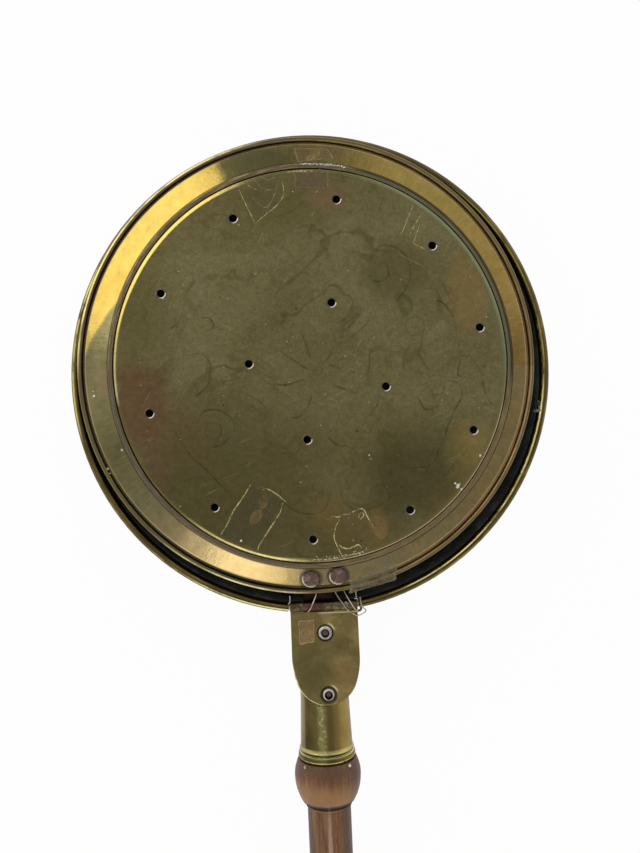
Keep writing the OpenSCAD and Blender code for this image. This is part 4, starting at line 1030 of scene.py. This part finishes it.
# Found outwards from a middle, in mm; the strip's rows go from its start turn over its sweep.
shield_middle = (2.1, -178)
start_turn, sweep, strip_rows = 186, 86, 61
strip_width = 0.75
points = []
for i in range(strip_rows):
    turn = math.radians(start_turn + sweep * i / (strip_rows - 1))
    near, far = 5.0, 45.0
    while far - near > 0.02:
        reach = (near + far) / 2
        met = straight_down(plate_top, *on_circle(shield_middle, reach, turn))[0]
        near, far = (reach, far) if met else (near, reach)
    width = strip_width * math.sin(math.pi * (i + 0.5) / strip_rows) ** 0.5
    for back, lift in ((width, 0.0), (width * 0.5, 0.06), (0.03, 0.04), (-0.02, -0.25)):
        spot = on_circle(shield_middle, near - back, turn)
        ground = top_at(plate_top, *on_circle(shield_middle, near - max(back, 0.1), turn))
        points.append((*spot, ground.z + lift))
new_piece("plate_edge_highlight", points, sheet_faces(strip_rows, 4), edge_highlight_material, "pan", "plate_brass")

# ---- Old sticky tape, flakes and crust ----
# Clear tape has held labels on the lid and the plate. Its yellowed remains are wrinkled, and lines
# of glue follow lost borders; flakes of dried polish and crusts lie round the panel's seam.


def tape_material(name, body, inside, pale, border, wrinkles, rounded=False):
    """Yellowed film with a torn edge: how far its field, border and wrinkles cover what is below."""
    material, tree, shader = new_material(name)
    spot = xyz(uv_of(tree))
    to_edge = calc("MINIMUM", calc("MINIMUM", spot[0], minus(1, spot[0])),
                   calc("MINIMUM", spot[1], minus(1, spot[1])))
    if rounded:
        from_middle = add(tree, "VectorMath", {0: uv_of(tree), 1: (0.5, 0.5, 0)}, operation="DISTANCE")
        to_edge = minus(0.5, from_middle.outputs["Value"])
    to_edge = plus(to_edge, times(minus(noise(place_of(tree), 260, 5, 0.7), 0.5), 0.16))
    field = between(to_edge, 0.03, 0.06)
    edge = times(field, between(to_edge, 0.11, 0.07))
    crease = noise(place_of(tree), 150, 3, 0.5, 2.4, 3.0)
    crease = between(apart(crease, 0.5), 0.03, 0.008)
    gaps = between(noise(place_of(tree), 90, 4, 0.6, 0, 6.0), 0.4, 0.6)
    lit = calc("MAXIMUM", times(edge, border), times(crease, gaps, wrinkles))
    cover = calc("MAXIMUM", lit, times(plus(0.7, times(gaps, 0.3)), inside))
    paint(shader, Base_Color=mixed(calc("MULTIPLY", lit, 1.2, clamp=True), body, pale),
          Roughness=spread(gaps, 0.3, 0.5), Alpha=times(cover, field),
          Normal=bumped(plus(crease, edge), 0.0002))
    return material


dark_tape = tape_material("dark tape field", srgb(86, 79, 48), 0.42, srgb(150, 138, 104), 0.0, 0.25)
clear_tape = tape_material("clear wrinkled tape", srgb(104, 96, 62), 0.3, srgb(158, 144, 112), 0.1, 0.4)
ochre_tape = tape_material("yellowed tape", srgb(122, 102, 54), 0.7, srgb(196, 170, 108), 0.5, 0.6)
brown_tape = tape_material("browned tape", srgb(108, 90, 60), 0.66, srgb(160, 144, 112), 0.4, 0.12)
torn_tape = tape_material("torn tape", srgb(122, 112, 80), 0.75, srgb(176, 166, 128), 0.3, 0.25)
tape_shadow = tape_material("tape mark on the plate", srgb(164, 134, 90), 0.55, srgb(196, 168, 118), 0.7,
                            0.0)
glue_blob = tape_material("amber glue", srgb(134, 108, 62), 0.6, srgb(160, 132, 80), 0.25, 0.15,
                          rounded=True)


def film(name, corners, material, surface, body, grid=14, lift=0.07):
    """A thin film over a surface between four corners in mm, its border lying on the surface."""
    points, spots = [], []
    a, b, c, d = (Vector(corner) for corner in corners)
    for j in range(grid + 1):
        for i in range(grid + 1):
            s, t = i / grid, j / grid
            spot = (a * (1 - s) + b * s) * (1 - t) + (d * (1 - s) + c * s) * t
            spot += Vector((chance.uniform(-0.12, 0.12), chance.uniform(-0.12, 0.12)))
            inner = 0 < i < grid and 0 < j < grid
            height = lift * (chance.uniform(0.7, 1.6) if inner else 0.35)
            points.append(top_at(surface, *spot, height))
            spots.append((s, t))
    piece = new_piece(name, points, sheet_faces(grid + 1, grid + 1), material, body)
    lay_flat(piece, "film", spots)


for name, corners, material in (
        ("tape_band_top", [(-5.3, 139.3), (-2.8, 128.1), (21.9, 130.1), (17.9, 137.6)], ochre_tape),
        ("tape_panel_top", [(-5.8, 111.6), (17.6, 110.7), (18.2, 121.9), (-5.6, 122.4)], brown_tape),
        ("tape_upper_left", [(-36.8, 110.0), (-28.6, 92.4), (-12.6, 103.6), (-18, 122.6)], clear_tape),
        ("tape_lower_left", [(-38.2, -66.0), (-59.2, -97.4), (-37.0, -107.5), (-18.4, -76.4)], dark_tape),
        ("glue_left_top", [(-33.3, -71.8), (-36.0, -80.4), (-30.8, -83.6), (-26.6, -73.4)], glue_blob),
        ("glue_left", [(-36.2, -79.6), (-42.8, -89.4), (-37.8, -93.8), (-29.8, -83.4)], glue_blob),
        ("glue_right", [(29.4, -87.8), (33.6, -101.8), (42.6, -106.6), (44.6, -89.2)], glue_blob),
        ("tape_on_band", [(39.4, -114.0), (45.5, -113.7), (46.4, -121.0), (39.7, -122.5)], torn_tape),
        ("tape_lid_edge", [(17.5, -128.4), (50.9, -119.9), (49.0, -130.6), (17.6, -138.0)], torn_tape)):
    film(name, corners, material, lid_top, "lid")

dried_glue, tree, shader = new_material("dried glue lines")
bits = noise(place_of(tree), 420, 4, 0.7)
paint(shader, Base_Color=ramp(bits, [(0.35, 140, 128, 80), (0.6, 206, 196, 138)]),
      Roughness=spread(bits, 0.35, 0.6), Alpha=spread(bits, 0.15, 0.8, 0.35, 0.55),
      Normal=bumped(bits, 0.0002))
# Width and way in mm of each line of glue that a lost label or tape left.
glue_ways = (
    (0.8, [(-38.6, -66.2), (-43.8, -73.9), (-50.3, -82.7), (-53.6, -89.2), (-58.8, -96.9)]),
    (0.7, [(-32.1, -70.2), (-29.6, -69.4), (-26.3, -71.0), (-21.9, -74.3), (-17.7, -78.5)]),
    (0.8, [(-19.9, -78.4), (-21.5, -83.7), (-25.7, -89.9), (-29.1, -94.9), (-33.5, -101.1),
           (-35.8, -104.4), (-36.4, -108.0)]),
    (0.8, [(8.4, -88.6), (10.8, -87.9), (13.2, -88.8), (15.7, -87.5), (19.6, -87.3), (23.7, -85.4),
           (28.6, -84.6), (31.4, -90.0), (36.0, -98.7)]),
    (0.6, [(14.1, -90.2), (11.8, -94.1), (10.7, -98.2), (10.5, -102.0), (12.4, -107.4), (15.7, -114.3)]),
    (0.9, [(13.4, -105.7), (15.4, -107.5), (18.7, -108.2), (22.1, -107.2), (25.0, -106.2), (27.5, -109.0)]),
    (0.6, [(25.7, -90.3), (26.3, -87.6), (28.5, -86.8), (28.9, -88.7), (26.5, -90.7)]),
    (0.5, [(-38.2, 112.9), (-33.5, 101.7), (-28.9, 91.5)]),
    (0.5, [(-28.9, 91.5), (-22.8, 96.4), (-16.9, 100.7), (-13.4, 104.5), (-10.9, 108.8), (-11.5, 117.2)]),
    (0.4, [(-29.1, 119.9), (-26.8, 116.0), (-23.7, 113.1), (-19.7, 111.5), (-15.5, 111.9)]),
    (0.4, [(-30.5, 108.8), (-26.8, 103.9), (-22.5, 101.0), (-18.9, 104.1), (-16.5, 109.1), (-14.3, 115.5)]),
    (0.4, [(-25.3, 120.6), (-22.5, 118.9), (-19.8, 117.6), (-16.1, 119.3)]),
    (0.4, [(-32.9, 115.7), (-30.0, 113.1), (-26.4, 111.8)]),
    (0.4, [(67.3, 98.8), (63.1, 89.6), (59.0, 80.6)]),
    (0.4, [(72.7, 94.3), (68.4, 87.5), (63.7, 79.9)]), (0.4, [(70.4, 85.6), (68.1, 80.2), (66.3, 75.6)]),
    (0.4, [(66.3, 75.6), (73.6, 71.5)]), (0.9, [(-8.5, 122.0), (-2.2, 122.4), (7.4, 122.2)]),
    (0.5, [(-1.5, -114.0), (6.0, -114.4), (14.0, -113.4)]),
    (0.5, [(16.0, -112.6), (24.0, -111.4), (31.0, -109.0)]))
points, faces = [], []
for width, way in glue_ways:
    bends = smooth_path(way, 0.7)
    bends = [point + Vector((chance.uniform(-0.09, 0.09), chance.uniform(-0.09, 0.09))) for point in bends]
    engrave(points, faces, bends, width)
new_piece("glue_lines", points, faces, dried_glue, "lid")
film("tape_mark_plate", [(-15.0, -154.1), (-3.9, -154.3), (-4.3, -168.6), (-14.8, -170.6)],
     tape_shadow, plate_top, "pan", grid=10, lift=0.05)

dried_polish, tree, shader = new_material("dried polish")
powder = noise(place_of(tree), 900, 4, 0.6)
paint(shader, Base_Color=ramp(powder, [(0.3, 150, 146, 120), (0.6, 222, 220, 204)]),
      Roughness=spread(powder, 0.6, 0.9), Normal=bumped(powder, 0.0002))


def crumb(points, faces, x, y, size, height):
    """Adds one crumb to the lid: a low uneven mound, its sizes in mm."""
    start, sides = len(points), 9
    shape = [chance.uniform(0.6, 1.25) for _ in range(sides)]
    mound = ((1.0, -0.03), (0.7, 0.7), (0.25, 1.0))
    for scale, lift in mound:
        for i in range(sides):
            spot = on_circle((x, y), size * scale * shape[i], i * math.tau / sides)
            ground = top_at(lid_top, *spot)
            points.append((*spot, ground.z + lift * height * chance.uniform(0.8, 1.2)))
    faces += ring_faces(len(mound), sides, start)
    faces.append(tuple(range(len(points) - sides, len(points))))


# Flakes that can be told apart, as x, y and size in mm; then a row of grains in the cove on the
# right, and grains strewn over the field but not into the vents.
flakes = ((87.1, -73.3, 1.3), (85.6, -71.4, 0.7), (89.1, -75.2, 0.8), (88.3, -71.9, 0.5), (101.6, -55.3, 0.7),
          (-5.4, 109.9, 0.4), (33.9, -52.0, 0.5), (-46.2, -100.5, 0.8), (-128.0, -53.7, 0.9),
          (-126.8, -56.5, 0.5), (-116.8, -42.3, 0.7), (-133.4, -8.4, 0.9), (-133.7, -5.4, 0.5))
points, faces = [], []
for flake in flakes:
    crumb(points, faces, *flake, 0.25)
row_grains, cove_r = 26, 136.3
row_start, row_sweep = 16.5, 10
for i in range(row_grains):
    share = i / (row_grains - 1) + chance.uniform(-0.01, 0.01)
    turn = math.radians(row_start - row_sweep * share)
    crumb(points, faces, *on_circle(lid_centre, cove_r, turn), chance.uniform(0.12, 0.32), 0.12)
strewn_grains, field_r, vent_gap = 70, 112, 6
for i in range(strewn_grains):
    turn, r = chance.uniform(0, math.tau), field_r * math.sqrt(chance.uniform(0, 1))
    spot = on_circle(panel_centre, r, turn)
    if min(math.dist(spot, vent) for vent in vents) > vent_gap:
        crumb(points, faces, *spot, chance.uniform(0.1, 0.26), 0.08)
new_piece("dried_polish_flakes", points, faces, dried_polish, "lid")

# A row of solder crumbs along the ridge at the top, larger where the spot of solder is.
row_crumbs, ridge_r = 34, 123.1
row_left, row_length = 0.4, 26.6
spot_left, spot_right, spot_larger = 12.5, 18.8, 1.7
points, faces = [], []
for i in range(row_crumbs):
    x = row_left + row_length * (i / (row_crumbs - 1)) + chance.uniform(-0.4, 0.4)
    size = chance.uniform(0.35, 0.7) * (spot_larger if spot_left < x < spot_right else 1)
    y = panel_centre[1] + math.sqrt(ridge_r ** 2 - (x - panel_centre[0]) ** 2) + chance.uniform(-0.5, 0.5)
    crumb(points, faces, x, y, size, size * 0.5)
new_piece("seam_crust", points, faces, solder, "lid", "solder")

# Crumbs of polish strewn along the lower edge of the panel.
low_crumbs, low_r = 46, 117.3
low_start, low_sweep = -92, 17
points, faces = [], []
for i in range(low_crumbs):
    turn = math.radians(low_start + low_sweep * chance.uniform(0, 1))
    r = low_r + chance.uniform(-1.3, 1.3)
    crumb(points, faces, *on_circle(panel_centre, r, turn), chance.uniform(0.12, 0.42), 0.15)
new_piece("seam_crust_low", points, faces, dried_polish, "lid")

smear, tree, shader = new_material("grey smear in the soot")
spot = xyz(uv_of(tree))
patchy = noise(place_of(tree), 240, 5, 0.7)
hooked = calc("MAXIMUM", between(spot[0], 0.3, 0.2), between(spot[1], 0.65, 0.75))
paint(shader, Base_Color=ramp(patchy, [(0.3, 96, 104, 104), (0.6, 168, 174, 172)]),
      Roughness=spread(patchy, 0.6, 0.9), Alpha=times(between(patchy, 0.4, 0.5), hooked),
      Normal=bumped(patchy, 0.0003))
film("soot_smear", [(140.6, -30.2), (140.9, -23.2), (143.6, -23.2), (143.4, -30.2)], smear,
     skin_of("pan_body"), "pan", grid=8, lift=0.05)
